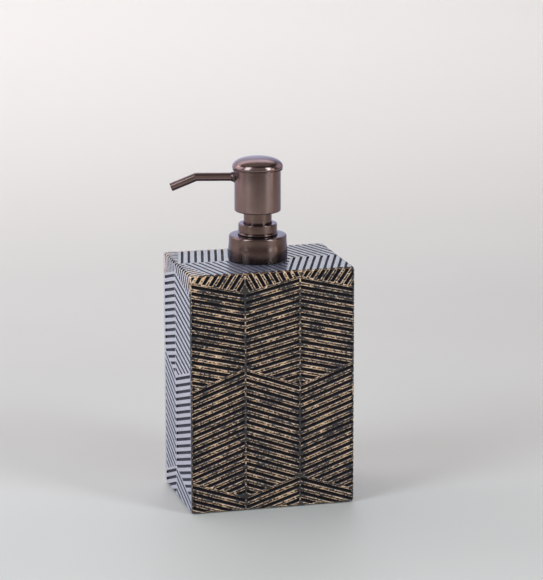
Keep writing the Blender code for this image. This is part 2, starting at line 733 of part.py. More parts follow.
def make_head_cap(parent):
    """Mushroom-shaped metal button: its curve is a superellipse, and its rim fits over the shell's top edge."""
    crown = HEAD_TOP + DOME_SHOULDER
    rise = DOME_HEIGHT - DOME_SHOULDER
    count = 9
    profile = [(0, HEAD_TOP + DOME_HEIGHT)]
    for index in range(1, count + 1):
        angle = math.pi / 2 * (1 - index / count)
        radius = DOME_R * math.cos(angle) ** (2 / DOME_SQUARENESS)
        height = rise * math.sin(angle) ** (2 / DOME_SQUARENESS)
        profile.append((radius, crown + height))
    recess_r = HEAD_R + FIT_GAP
    recess_top = HEAD_TOP + 2 * FIT_GAP
    profile += [
        (DOME_R - 0.15 * MM, HEAD_TOP + DOME_SHOULDER / 2),
        (recess_r + 0.3 * MM, HEAD_TOP),
        (recess_r, HEAD_TOP),
        (recess_r, recess_top),
        (0, recess_top),
    ]
    cap = spindle("head_cap", profile, 48)
    put_under(cap, parent)
    return finish(cap, BRONZE, 0.28, 1.0)


def spout_path():
    """Centre line of the spout: straight out, one tight bend, then down to the tip."""
    slope = SPOUT_BEND_R * math.tan(SPOUT_DROOP / 2)
    bend_start = SPOUT_STRAIGHT - slope
    points = [(SPOUT_INNER_END, 0.0), (bend_start, 0.0)]
    steps = 4
    for index in range(1, steps + 1):
        angle = SPOUT_DROOP * index / steps
        drop = SPOUT_BEND_R * (1 - math.cos(angle))
        points.append((bend_start + SPOUT_BEND_R * math.sin(angle), -drop))
    end_along = SPOUT_REACH - SPOUT_R * math.sin(SPOUT_DROOP)
    last_along, last_drop = points[-1]
    points.append((end_along, last_drop - (end_along - last_along) * math.tan(SPOUT_DROOP)))
    return points


def extended(points, amount):
    """The same path with both ends made longer, so that a cutter passes right through."""
    first, second = Vector(points[0]), Vector(points[1])
    last, before = Vector(points[-1]), Vector(points[-2])
    head = first + (first - second).normalized() * amount
    tail = last + (last - before).normalized() * amount
    return [tuple(head)] + points[1:-1] + [tuple(tail)]


def make_spout_tube(parent):
    path = spout_path()
    centre = [tuple(along_spout(along, SPOUT_HEIGHT + drop)) for along, drop in path]
    longer = [tuple(along_spout(along, SPOUT_HEIGHT + drop)) for along, drop in extended(path, 2 * MM)]
    tube = tube_mesh("spout_tube", centre, SPOUT_R, sides=4)
    cut(tube, tube_mesh("spout_bore", longer, SPOUT_BORE_R, sides=2))
    put_under(tube, parent)
    return finish(tube, BRONZE, 0.3, 1.0)


def make_spout_bush(parent):
    """Bush that holds the spout in the head's wall, with a short cone outside."""
    profile = [
        (BUSH_NOSE_R, BUSH_PROUD),
        (BUSH_R, BUSH_PROUD / 3),
        (BUSH_R, -BUSH_INSIDE),
        (BUSH_BORE_R, -BUSH_INSIDE),
        (BUSH_BORE_R, BUSH_PROUD),
    ]
    bush = ring("spout_bush", profile, 24)
    bush.data.transform(spout_rotation())
    bush.location = along_spout(HEAD_R, SPOUT_HEIGHT)
    put_under(bush, parent)
    return finish(bush, (0.015, 0.013, 0.013), 0.6)


def main():
    make_bottle_shell()
    make_neck_insert()
    make_base_plate()
    make_base_pad()

    pump_axis = add_empty("pump_axis", NECK_TOP)
    closure_axis = add_empty("closure_axis", NECK_TOP)
    for make in (
        make_neck_gasket,
        make_pump_housing,
        make_chaplet,
        make_step_ring,
        make_stem_seal,
        make_return_spring,
        make_ball_cage,
        make_dip_tube,
    ):
        put_under(make(), pump_axis)
    put_under(make_closure_cap(), closure_axis)
    put_under(make_collar_sleeve(), closure_axis)

    make_inlet_ball(add_empty("ball_axis", BALL_CENTRE))
    make_poppet_rod(add_empty("poppet_axis", POPPET_SEAT_TOP))
    make_piston(add_empty("piston_axis", PISTON_BOTTOM))

    head_axis = add_empty("head_axis", HEAD_BOTTOM)
    for make in (
        make_stem_tube,
        make_stem_sleeve,
        make_actuator_core,
        make_head_shell,
        make_head_cap,
        make_spout_tube,
        make_spout_bush,
    ):
        make(head_axis)


main()
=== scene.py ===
"""Looks of the soap pump dispenser: a carved, dry-brushed resin bottle and a bronze lotion pump.

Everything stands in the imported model's own frame: metres, +Z up, the pump's axis on X = Y = 0, the
bottle's wide front along -Y and the spout along -X. Pieces that are plain in the model are replaced here.
"""
import math

import bmesh
import bpy
from mathutils import Matrix, Vector, noise
from mathutils.geometry import delaunay_2d_cdt


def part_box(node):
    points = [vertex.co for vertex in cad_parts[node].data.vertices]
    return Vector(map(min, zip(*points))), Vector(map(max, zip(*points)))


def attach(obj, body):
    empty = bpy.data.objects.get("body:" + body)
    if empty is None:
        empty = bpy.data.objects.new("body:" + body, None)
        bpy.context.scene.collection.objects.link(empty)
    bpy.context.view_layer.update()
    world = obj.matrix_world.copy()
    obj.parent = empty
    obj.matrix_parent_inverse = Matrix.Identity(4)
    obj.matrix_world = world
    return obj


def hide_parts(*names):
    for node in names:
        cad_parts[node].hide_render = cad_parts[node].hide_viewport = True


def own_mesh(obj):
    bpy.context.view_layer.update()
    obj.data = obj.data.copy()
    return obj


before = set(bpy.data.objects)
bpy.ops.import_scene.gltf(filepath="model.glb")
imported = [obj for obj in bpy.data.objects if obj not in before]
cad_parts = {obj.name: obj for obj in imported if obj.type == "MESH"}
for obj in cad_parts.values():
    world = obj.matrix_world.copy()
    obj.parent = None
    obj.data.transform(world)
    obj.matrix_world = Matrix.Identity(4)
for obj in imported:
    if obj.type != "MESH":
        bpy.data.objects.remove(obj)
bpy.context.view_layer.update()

MM = 0.001
ON_AXIS = 1e-4


def corners(node):
    low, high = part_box(node)
    return Vector(low), Vector(high)


def extent(node):
    """The outer radius, top and bottom of a round piece's box, in millimetres."""
    low, high = corners(node)
    return high.x / MM, high.z / MM, low.z / MM


# ---- materials


class Surface:
    """One node-based material: a Principled shader with helpers that add and join nodes."""

    def __init__(self, name, roughness=0.5, metallic=0.0):
        self.material = bpy.data.materials.new(name)
        self.material.use_nodes = True
        self.tree = self.material.node_tree
        self.shader = self.tree.nodes["Principled BSDF"]
        self.set("Roughness", roughness)
        self.set("Metallic", metallic)
        self.place = self.node("ShaderNodeTexCoord").outputs["Object"]

    def node(self, kind, inputs=None, **settings):
        """A new node; each of its inputs is given as a plain value or as a socket to join to it."""
        made = self.tree.nodes.new(kind)
        for name, value in settings.items():
            setattr(made, name, value)
        for name, value in (inputs or {}).items():
            self.feed(made.inputs[name], value)
        return made

    def feed(self, socket, value):
        if isinstance(value, bpy.types.NodeSocket):
            self.tree.links.new(value, socket)
        else:
            socket.default_value = value

    def set(self, name, value):
        self.feed(self.shader.inputs[name], value)

    def along(self, axis, vector=None):
        """One coordinate of a vector, or of the place on the object."""
        return self.node("ShaderNodeSeparateXYZ", {"Vector": vector or self.place}).outputs[axis]

    def distance(self, spot):
        """How far a place on the object is from a spot."""
        made = self.node("ShaderNodeVectorMath", {0: self.place, 1: spot}, operation="DISTANCE")
        return made.outputs["Value"]

    def stretched(self, scale):
        return self.node("ShaderNodeMapping", {"Scale": scale, "Vector": self.place}).outputs["Vector"]

    def noise(self, size, detail=2.0, roughness=0.5, vector=None):
        """Noise whose features are about size metres across."""
        inputs = {"Scale": 1 / size, "Detail": detail, "Roughness": roughness, "Vector": vector or self.place}
        return self.node("ShaderNodeTexNoise", inputs).outputs["Fac"]

    def cells(self, size):
        inputs = {"Scale": 1 / size, "Vector": self.place}
        return self.node("ShaderNodeTexVoronoi", inputs).outputs["Distance"]

    def span(self, value, low, high, out_low=0.0, out_high=1.0, smooth=False):
        kind = "SMOOTHSTEP" if smooth else "LINEAR"
        inputs = {"Value": value, "From Min": low, "From Max": high, "To Min": out_low, "To Max": out_high}
        return self.node("ShaderNodeMapRange", inputs, interpolation_type=kind).outputs["Result"]

    def maths(self, operation, first, second=0.0):
        return self.node("ShaderNodeMath", {0: first, 1: second}, operation=operation).outputs["Value"]

    def mix(self, factor, first, second):
        """Colour between two colours, each a tuple or a socket."""
        made = self.node("ShaderNodeMix", {"Factor": factor}, data_type="RGBA")
        sockets = [socket for socket in made.inputs if socket.type == "RGBA"]
        for socket, colour in zip(sockets, (first, second)):
            self.feed(socket, (*colour, 1.0) if isinstance(colour, tuple) else colour)
        return [socket for socket in made.outputs if socket.type == "RGBA"][0]

    def bump(self, height, strength, distance):
        inputs = {"Strength": strength, "Distance": distance, "Height": height}
        self.set("Normal", self.node("ShaderNodeBump", inputs).outputs["Normal"])


# Colours of the lands and grooves: on the wide faces, on the narrow ones and on the top, each a pair to mix.
# The narrow faces' and the top's are painted light: pale lands for a painted sheen, darker on the top, and
# lighter groove floors.
LACQUER = ((0.012, 0.008, 0.010), (0.030, 0.018, 0.015))
NARROW_PAINTED_SHEEN = ((0.43, 0.415, 0.515), (0.32, 0.308, 0.405))
TOP_PAINTED_SHEEN = ((0.200, 0.193, 0.262), (0.143, 0.138, 0.197))
GOLD = ((0.72, 0.405, 0.20), (0.95, 0.665, 0.475))
WIDE_FLOOR = ((0.007, 0.005, 0.006), (0.014, 0.009, 0.010))
NARROW_FLOOR = ((0.035, 0.035, 0.052), (0.060, 0.060, 0.080))
TOP_FLOOR = ((0.060, 0.060, 0.080), (0.090, 0.090, 0.115))
COLUMN = 88.0 / 3 * MM
# Spots with more gold: centre, full within, gone beyond, and how much more
WORN_SPOTS = (
    ((-44 * MM, 27 * MM, 121 * MM), 5 * MM, 9 * MM, 0.45),
    ((-44 * MM, -27 * MM, 127 * MM), 3 * MM, 15 * MM, 0.36),
)
# How much gold there is, as shares that add up with the specks' noise, and where the sum shows as gold
# Little gold on the narrow faces and the top, so that their painted sheen shows.
NARROW_COVER, WIDE_COVER = -0.42, -0.035
PATCH_COVER = 0.15
SIDE_LOSS = 0.14
RIM_GAIN = 0.10
MIDDLE_LOSS = 0.20
EDGE_GAIN = 0.30
SPECK_WEIGHT = 1.5
GOLD_STARTS, GOLD_FULL = 0.66, 0.80


def facing(made, axis, low, high):
    """From low to high as the surface turns to face along an axis of the body, either way."""
    normal = made.along(axis, made.node("ShaderNodeTexCoord").outputs["Normal"])
    return made.span(made.maths("ABSOLUTE", normal), 0.25, 0.75, low, high, smooth=True)


def by_face(made, tone, wide, narrow, top):
    """The colour pair of the face that the surface belongs to, mixed by tone; the narrow faces' and the top's
    pairs carry painted light.
    """
    sides = made.mix(facing(made, "Z", 0.0, 1.0), made.mix(tone, *narrow), made.mix(tone, *top))
    return made.mix(facing(made, "Y", 0.0, 1.0), sides, wide)


def gold_mask(made):
    """Where the dry brush left gold: 1 on it, 0 off it.

    It leaves most on the lands' edges and specks in their middle, where the mesh's worn value is 1, and less
    near the columns' sides. Off the wide faces, where the lands carry a painted sheen, it only catches the
    body's upper edges and the worn spots.
    """
    worn = made.node("ShaderNodeAttribute", attribute_name="worn").outputs["Fac"]
    edge = made.node("ShaderNodeAttribute", attribute_name="edge").outputs["Fac"]
    cover = made.span(made.noise(11 * MM, 2.0, 0.55), 0.3, 0.7, -PATCH_COVER, PATCH_COVER)
    cover = made.maths("ADD", cover, facing(made, "Y", NARROW_COVER, WIDE_COVER))
    from_centre = made.maths("PINGPONG", made.along("X"), COLUMN / 2)
    side_loss = made.span(from_centre, COLUMN * 0.38, COLUMN * 0.49, 0.0, SIDE_LOSS, smooth=True)
    cover = made.maths("SUBTRACT", cover, side_loss)
    cover = made.maths("SUBTRACT", cover, made.span(worn, 0.2, 0.85, -RIM_GAIN, MIDDLE_LOSS))
    cover = made.maths("ADD", cover, made.maths("MULTIPLY", edge, EDGE_GAIN))
    for centre, near, far, more in WORN_SPOTS:
        gain = made.span(made.distance(centre), near, far, more, 0.0, smooth=True)
        cover = made.maths("ADD", cover, gain)
    specks = made.noise(0.62 * MM, 2.0, 0.6, vector=made.stretched((0.55, 0.55, 1.0)))
    cover = made.maths("ADD", cover, made.maths("MULTIPLY", specks, SPECK_WEIGHT))
    return made.span(cover, GOLD_STARTS, GOLD_FULL, smooth=True)


def make_land_material():
    """Coated lacquer on the lands, near-black on the wide faces and brushed with gold; on the narrow faces
    and the top the lands are painted pale grey as a painted sheen of reflected light.
    """
    made = Surface("brushed_land", 0.42)
    made.set("Coat Weight", 1.0)
    made.set("Coat Roughness", 0.26)
    made.set("Coat IOR", 1.5)
    made.set("Specular IOR Level", 0.25)
    mask = gold_mask(made)
    wide = made.mix(made.span(made.noise(5 * MM, 2.0), 0.4, 0.7), *LACQUER)
    tone = made.span(made.noise(2.2 * MM, 3.0, 0.6), 0.3, 0.7)
    # Painted sheen: pale lands on the narrow faces and a darker copy on the top stand in for reflected light.
    ground = by_face(made, tone, wide, NARROW_PAINTED_SHEEN, TOP_PAINTED_SHEEN)
    gold = made.mix(made.span(made.noise(1.3 * MM, 2.0), 0.35, 0.68), *GOLD)
    made.set("Base Color", made.mix(mask, ground, gold))
    made.set("Metallic", made.span(mask, 0.0, 1.0, 0.0, 0.35))
    made.set("Roughness", made.span(mask, 0.0, 1.0, 0.34, 0.5))
    height = made.maths("ADD", made.noise(0.5 * MM, 3.0, 0.6), made.maths("MULTIPLY", mask, 0.4))
    made.bump(height, 0.3, 0.06 * MM)
    return made.material


def make_groove_material():
    """Matte floor and walls of the grooves: near-black on the wide faces, and painted lighter grey on the
    narrow faces and the top as painted light.
    """
    made = Surface("groove_black", 0.62)
    made.set("Specular IOR Level", 0.12)
    tone = made.span(made.noise(3 * MM, 3.0), 0.35, 0.7)
    # Painted light: the narrow faces' and the top's groove floors are painted lighter, as if lit more
    # strongly than the wide faces'.
    made.set("Base Color", by_face(made, tone, made.mix(tone, *WIDE_FLOOR), NARROW_FLOOR, TOP_FLOOR))
    made.set("Roughness", made.span(made.noise(1.2 * MM), 0.3, 0.7, 0.55, 0.75))
    made.bump(made.noise(0.6 * MM, 3.0), 0.3, 0.08 * MM)
    return made.material


# Bronze of the head, of the pieces below it, and of the spout's collar, each a pair to mix; the collar's is
# darkened as painted shade under the head's dome
BRONZE = ((0.268, 0.176, 0.160), (0.222, 0.145, 0.131))
BRONZE_LOW = ((0.188, 0.121, 0.104), (0.150, 0.096, 0.082))
SPOUT_COLLAR_SHADE = ((0.10, 0.068, 0.062), (0.075, 0.05, 0.045))
# Painted shade: the dark that the collar's bronze turns to near its foot, standing in for the dark bottle top
# it reflects.
COLLAR_PAINTED_SHADE = (0.060, 0.042, 0.038)


def make_bronze(name, colours, fade=None):
    """Satin oil-rubbed bronze with faint clouds and turning marks; given a fade, it is painted dark at and
    below the fade's lower height, easing back to bronze by its upper one, as painted shade and a painted
    reflection of the dark bottle top.
    """
    made = Surface(name, 0.26, 1.0)
    colour = made.mix(made.span(made.noise(9 * MM, 3.0), 0.35, 0.7), *colours)
    if fade:
        colour = made.mix(made.span(made.along("Z"), *fade, smooth=True), COLLAR_PAINTED_SHADE, colour)
    made.set("Base Color", colour)
    made.set("Roughness", made.span(made.noise(0.5 * MM, 2.0), 0.3, 0.7, 0.20, 0.24))
    made.set("Specular Tint", (0.78, 0.82, 1.0, 1.0))
    turning = made.noise(0.35 * MM, 2.0, vector=made.stretched((0.08, 0.08, 1.0)))
    made.bump(turning, 0.03, 0.02 * MM)
    return made.material


# Plastics and rubber, each a pair to mix
BLACK = ((0.020, 0.019, 0.020), (0.030, 0.028, 0.029))
NATURAL = ((0.62, 0.62, 0.59), (0.56, 0.56, 0.53))
SEAL_RED = ((0.30, 0.045, 0.035), (0.24, 0.035, 0.03))
GASKET = ((0.60, 0.60, 0.57), (0.5, 0.5, 0.47))
RAW_RESIN = ((0.10, 0.10, 0.105), (0.075, 0.075, 0.08))


def make_plastic(name, colours, roughness, grain, bump, clear=False):
    made = Surface(name, roughness)
    made.set("Base Color", made.mix(made.span(made.noise(4 * MM, 2.0), 0.35, 0.7), *colours))
    matte = made.span(made.noise(grain * 2), 0.3, 0.7, roughness - 0.06, roughness + 0.08)
    made.set("Roughness", matte)
    made.bump(made.noise(grain, 2.0), bump, 0.03 * MM)
    if clear:
        made.set("Subsurface Weight", 0.35)
        made.set("Subsurface Radius", (2 * MM, 2 * MM, 2 * MM))
        made.set("Subsurface Scale", 1.0)
    return made.material


def make_foam():
    made = Surface("pad_foam", 0.92)
    pores = made.cells(0.45 * MM)
    shade = made.span(pores, 0.1, 0.6)
    made.set("Base Color", made.mix(shade, (0.012, 0.012, 0.013), (0.035, 0.035, 0.037)))
    made.bump(pores, 0.7, 0.12 * MM)
    return made.material


def make_steel():
    made = Surface("bright_steel", 0.18, 1.0)
    cloud = made.noise(2 * MM, 2.0)
    made.set("Base Color", made.mix(cloud, (0.62, 0.62, 0.64), (0.5, 0.5, 0.53)))
    made.set("Roughness", made.span(made.noise(0.4 * MM), 0.3, 0.7, 0.14, 0.26))
    return made.material


# ---- mesh helpers


SHARP = 35.0


def publish(name, work, materials, angle=SHARP):
    """Turns a bmesh into an object with its materials, smooth shading and sharp corners."""
    bmesh.ops.recalc_face_normals(work, faces=work.faces)
    mesh = bpy.data.meshes.new(name)
    work.to_mesh(mesh)
    work.free()
    for material in materials:
        mesh.materials.append(material)
    mesh.shade_smooth()
    mesh.set_sharp_from_angle(angle=math.radians(angle))
    piece = bpy.data.objects.new(name, mesh)
    bpy.context.scene.collection.objects.link(piece)
    return piece


def declare(piece, body, slot, *nodes):
    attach(piece, body)
    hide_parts(*nodes)


def circle(radius, steps):
    angles = [2 * math.pi * index / steps for index in range(steps)]
    return [(radius * math.cos(angle), radius * math.sin(angle)) for angle in angles]


def edges_of(outline):
    """Each point of a closed outline with the one that follows it."""
    return zip(outline, outline[1:] + outline[:1])


def bridge(work, first, second):
    """Joins two rings of vertices with faces; a vertex that fills a whole ring gives triangles."""
    made = []
    for (a, b), (c, d) in zip(edges_of(first), edges_of(second)):
        loop = dict.fromkeys((a, c, d, b))
        if len(loop) > 2:
            made.append(work.faces.new(tuple(loop)))
    return made


def rounded(outline, steps=5, closed=True):
    """Outline points from (radius, height, round) corners: each corner is cut back by round and curved."""
    points = []
    count = len(outline)
    for index, (r, z, cut) in enumerate(outline):
        here = Vector((r, z))
        at_end = not closed and index in (0, count - 1)
        if cut == 0 or at_end:
            points.append(here)
            continue
        before = Vector(outline[index - 1][:2])
        after = Vector(outline[(index + 1) % count][:2])
        start = here + (before - here).normalized() * cut
        end = here + (after - here).normalized() * cut
        for step in range(steps + 1):
            t = step / steps
            points.append(start * (1 - t) ** 2 + here * (2 * t * (1 - t)) + end * t ** 2)
    return points


def revolve(points, closed=True, segments=128):
    """A turned bmesh from (radius, height) points in millimetres; one on the axis becomes one vertex."""
    work = bmesh.new()
    rows = []
    for r, z in points:
        if r < ON_AXIS:
            rows.append([work.verts.new((0.0, 0.0, z * MM))] * segments)
        else:
            rows.append([work.verts.new((x, y, z * MM)) for x, y in circle(r * MM, segments)])
    for upper, lower in zip(rows, rows[1:]):
        bridge(work, upper, lower)
    if closed:
        bridge(work, rows[-1], rows[0])
    return work


def sweep(path, radius, bore=0.0, sides=40):
    """A round tube along a path of points, with flat ends: solid, or with a bore."""
    work = bmesh.new()
    ahead = path[1:] + path[-1:]
    behind = path[:1] + path[:-1]
    tangents = [(after - before).normalized() for before, after in zip(behind, ahead)]
    side = tangents[0].orthogonal().normalized()
    frames = []
    for tangent in tangents:
        side = (side - tangent * side.dot(tangent)).normalized()
        frames.append((side, tangent.cross(side)))
    shells = []
    for size in (radius, bore) if bore else (radius,):
        rings = []
        for centre, (across, up) in zip(path, frames):
            rings.append([work.verts.new(centre + across * x + up * y) for x, y in circle(size, sides)])
        for first, second in zip(rings, rings[1:]):
            bridge(work, first, second)
        shells.append(rings)
    for end in (0, -1):
        if bore:
            bridge(work, shells[0][end], shells[1][end])
        else:
            work.faces.new(shells[0][end])
    return work


# ---- the carved bottle

shell_low, shell_high = corners("bottle_shell")
HALF_X = shell_high.x / MM
HALF_Y = shell_high.y / MM
HALF_Z = (shell_high.z - shell_low.z) / 2 / MM
CENTRE_Z = (shell_high.z + shell_low.z) / 2 / MM
EDGE_R = 1.15
# From one groove to the next, and the grooves' widths on the wide faces, the narrow ones and the top
PITCH = 3.53
GROOVE = 2.2
NARROW_GROOVE = 1.8
TOP_GROOVE = 1.6
# From a slanting line to the first groove beside it, and to that groove's middle
FIRST_GAP = 0.51
FIRST_LINE = 1.85
RIDGE = 0.2
CORNER_RIDGE = 0.45
LINE_GAP = 0.05
SEAM_GAP = 0.1
# A groove's section as (inset from its outline, depth below the land), from the land's worn edge to the floor
SECTION = ((-0.42, 0.0), (0.0, 0.0), (0.15, -0.11), (0.28, -0.62), (0.46, -0.84))
OUTLINE_LEVEL = 1
DARK_LEVEL = 2
SMALLEST_GROOVE = 1.1
SMALLEST_AREA = 2.0
SMALLEST_LEVEL_AREA = 0.02
# Longer than any tile: half a strip's length, and how far its copies spread
STRIP_REACH = 300.0
TILE_REACH = 260.0
FADE = 0.8
SEAM_END = 1.6
OUTLINE_STEP = 3.4
OUTLINE_CUT = 0.22
WOBBLE = 0.06
WOBBLE_GROWS = 1.5
WOBBLE_WAVE = 0.45
COLLAR_KEEP_R = 14.4
HOLE_R = 13.3
HOLE_STEPS = 64
WALL = 4.5
TOP_WALL = 6.0
ARC_STEPS = 3
ON_BORDER = 1e-4
MERGED = 1e-5
FLOODED, FLOODED_AREA = 1.5, 1.0
# In metres, unlike the rest here
SAME_PLACE = 1e-6
WORN_EDGE = 1.6
LAND_SLOT, GROOVE_SLOT, INSIDE_SLOT = 0, 1, 2


class Face:
    """One outer face of the bottle, worked in its own flat millimetre coordinates u (right) and v (up)."""

    def __init__(self, name, right, up, half_u, half_v, reach, groove):
        self.name = name
        self.groove = groove
        self.right = Vector(right)
        self.up = Vector(up)
        self.out = self.right.cross(self.up)
        self.half_u = half_u
        self.half_v = half_v
        self.reach = reach
        self.limit_u = half_u - EDGE_R + EDGE_R * math.pi / 4
        self.limit_v = half_v - EDGE_R + EDGE_R * math.pi / 4
        self.neighbours = []
        self.cuts = []

    def sides(self):
        """The sheet's four borders as (outward direction in u and v, limit)."""
        return (
            (Vector((1.0, 0.0)), self.limit_u),
            (Vector((-1.0, 0.0)), self.limit_u),
            (Vector((0.0, 1.0)), self.limit_v),
            (Vector((0.0, -1.0)), self.limit_v),
        )

    def room(self, point):
        """How far a point lies inside the sheet's border."""
        return min(limit - point.dot(side) for side, limit in self.sides())

    def below_rim(self, point):
        """How far a point lies from the body's upper edges."""
        return self.room(point) if self.name in ("top", "bottom") else self.limit_v - point.y

    def to_space(self, flat):
        return self.right * flat.x + self.up * flat.y

    def from_space(self, spread):
        return Vector((spread.dot(self.right), spread.dot(self.up)))

    def limit_towards(self, direction):
        return self.limit_u if abs(direction.dot(self.right)) > 0.5 else self.limit_v

    def place(self, u, v, depth):
        """The point on the rounded body under the sheet's point, pushed in by -depth."""
        flat_u, turn_u = fold(u, self.half_u)
        flat_v, turn_v = fold(v, self.half_v)
        normal = Vector((math.tan(turn_u), math.tan(turn_v), 1.0)).normalized()
        along_u = flat_u + (EDGE_R + depth) * normal.x
        along_v = flat_v + (EDGE_R + depth) * normal.y
        along_out = self.reach - EDGE_R + (EDGE_R + depth) * normal.z
        centre = Vector((0.0, 0.0, CENTRE_Z))
        return (centre + self.right * along_u + self.up * along_v + self.out * along_out) * MM


def fold(value, half):
    """Splits a sheet coordinate into its place on the flat part and its angle round the edge."""
    flat = half - EDGE_R
    if abs(value) <= flat:
        return value, 0.0
    sign = math.copysign(1.0, value)
    return sign * flat, sign * (abs(value) - flat) / EDGE_R


def clip(outline, point, inward):
    """The part of a convex outline on the inner side of a line through point."""
    kept = []
    for here, following in edges_of(outline):
        side = (here - point).dot(inward)
        side_next = (following - point).dot(inward)
        if side >= 0:
            kept.append(here)
        if side * side_next < 0:
            kept.append(here.lerp(following, side / (side - side_next)))
    return kept


def area(outline):
    """Positive where the outline runs anticlockwise."""
    return sum(here.x * following.y - following.x * here.y for here, following in edges_of(outline)) / 2


def shaken(face, spot, seed):
    """The spot moved a little, as a hand carver would, but not where it lies on the sheet's border."""
    weight = min(1.0, max(0.0, face.room(spot)) / WOBBLE_GROWS)
    shake = noise.noise_vector(Vector((spot.x * WOBBLE_WAVE, spot.y * WOBBLE_WAVE, seed)))
    return spot + Vector((shake.x, shake.y)) * WOBBLE * weight


def soften(face, outline, seed):
    """Cuts the outline's corners and adds slightly wandering points along its long sides."""
    points = []
    count = len(outline)
    for index, here in enumerate(outline):
        if face.room(here) < ON_BORDER:
            points.append(here)
            continue
        before = outline[index - 1] - here
        after = outline[(index + 1) % count] - here
        cut = min(OUTLINE_CUT, before.length / 3, after.length / 3)
        points.append(here + before.normalized() * cut)
        points.append(here + after.normalized() * cut)
    result = []
    for here, following in edges_of(points):
        on_border = face.room(here) < ON_BORDER and face.room(following) < ON_BORDER
        parts = 1 if on_border else max(1, int((following - here).length / OUTLINE_STEP))
        for part in range(parts):
            result.append(shaken(face, here.lerp(following, part / parts), seed))
    return result


def strip_outline(width, middle, along, across, inset, tile, borders):
    """A groove's outline at one level: a strip of that width through middle, cut to the tile."""
    half = width / 2 - inset
    reach = along * STRIP_REACH
    side = across * half
    strip = [middle - reach - side, middle + reach - side, middle + reach + side, middle - reach + side]
    for (start, end), border in zip(edges_of(tile), borders):
        inward = Vector((-(end - start).y, (end - start).x)).normalized()
        gap = 0.0 if border is None else border + max(inset, 0.0)
        strip = clip(strip, start + inward * gap, inward)
        if len(strip) < 3:
            return []
    return strip


def at_seam_end(face, point):
    """Whether a point lies on the sheet's border close to one of its corners."""
    gaps = sorted(limit - point.dot(side) for side, limit in face.sides())
    return gaps[0] < ON_BORDER and gaps[1] < SEAM_END


def collar_stop(face, spread):
    """On the top face, how far from the axis a groove has to stop so that it ends under the collar."""
    if face.name != "top":
        return None
    nearest = 0.0 if min(spread) < 0 < max(spread) else min(abs(min(spread)), abs(max(spread)))
    if nearest >= COLLAR_KEEP_R:
        return None
    return math.sqrt(COLLAR_KEEP_R ** 2 - nearest ** 2)


def carve_tile(face, tile, direction, through, borders, seed):
    """Cuts a tile's grooves: strips along direction, one of them centred on the point through.

    tile is a convex outline, anticlockwise. borders says how far the grooves stop short of each of its sides,
    and None lets them run on to the sheet's border and over the edge.
    """
    along = Vector((math.cos(direction), math.sin(direction)))
    across = Vector((-along.y, along.x))
    count = int(TILE_REACH / PITCH)
    for number in range(-count, count + 1):
        middle = through + across * (number * PITCH)
        rough = strip_outline(face.groove, middle, along, across, 0.0, tile, borders)
        if len(rough) < 3 or area(rough) < SMALLEST_AREA:
            continue
        spread = [point.dot(across) for point in rough]
        if max(spread) - min(spread) < SMALLEST_GROOVE:
            continue
        safe = borders
        if any(at_seam_end(face, point) for point in rough):
            safe = [SEAM_GAP if border is None else border for border in borders]
        stop = collar_stop(face, spread)
        for side in (0,) if stop is None else (1, -1):
            nest = []
            for inset, depth in SECTION:
                outline = strip_outline(face.groove, middle, along, across, inset, tile, safe)
                if side and outline:
                    outline = clip(outline, along * side * (stop + max(inset, 0.0)), along * side)
                if len(outline) < 3 or area(outline) < SMALLEST_LEVEL_AREA:
                    break
                nest.append((outline, depth))
            if len(nest) > DARK_LEVEL and area(nest[OUTLINE_LEVEL][0]) > SMALLEST_AREA:
                add_nest(face, nest, along, seed + number)


def add_nest(face, nest, along, seed):
    """Adds one groove's nested outlines and, where it reaches a border, its fading end on the next face."""
    for level, (outline, depth) in enumerate(nest):
        face.cuts.append((soften(face, outline, seed), level, depth, None))
    for side, limit in face.sides():
        onward = along if along.dot(side) > 0 else -along
        if onward.dot(side) < 0.05:
            continue
        for level, (outline, depth) in enumerate(nest):
            ends = [point for point in outline if limit - point.dot(side) < ON_BORDER]
            if len(ends) > 1:
                ends.sort(key=lambda point: point.x + point.y)
                hand_over(face, side, (ends[0], ends[-1]), onward, level, depth)


def hand_over(face, side, ends, onward, level, depth):
    """Continues a groove over the edge onto the neighbouring face, where it soon fades out."""
    direction = face.to_space(side)
    other = next(near for near in face.neighbours if near.out.dot(direction) > 0.5)
    border = other.limit_towards(face.out)
    seam = face.out.cross(direction)
    shift = onward / onward.dot(side) * FADE
    outline = []
    first, last = ends
    for point, extra in ((first, 0.0), (first + shift, FADE), (last + shift, FADE), (last, 0.0)):
        spot = seam * face.to_space(point).dot(seam) + face.out * (border - extra)
        outline.append(other.from_space(spot))
    other.cuts.append((outline, level, depth, (other.from_space(face.out), border)))


def depth_at(cut, point):
    """How deep one cut is at a point: its own depth, less where it fades away from the border."""
    _, _, depth, fading = cut
    if fading is None:
        return depth
    inner, border = fading
    return depth * max(0.0, 1.0 - (border - point.dot(inner)) / FADE)


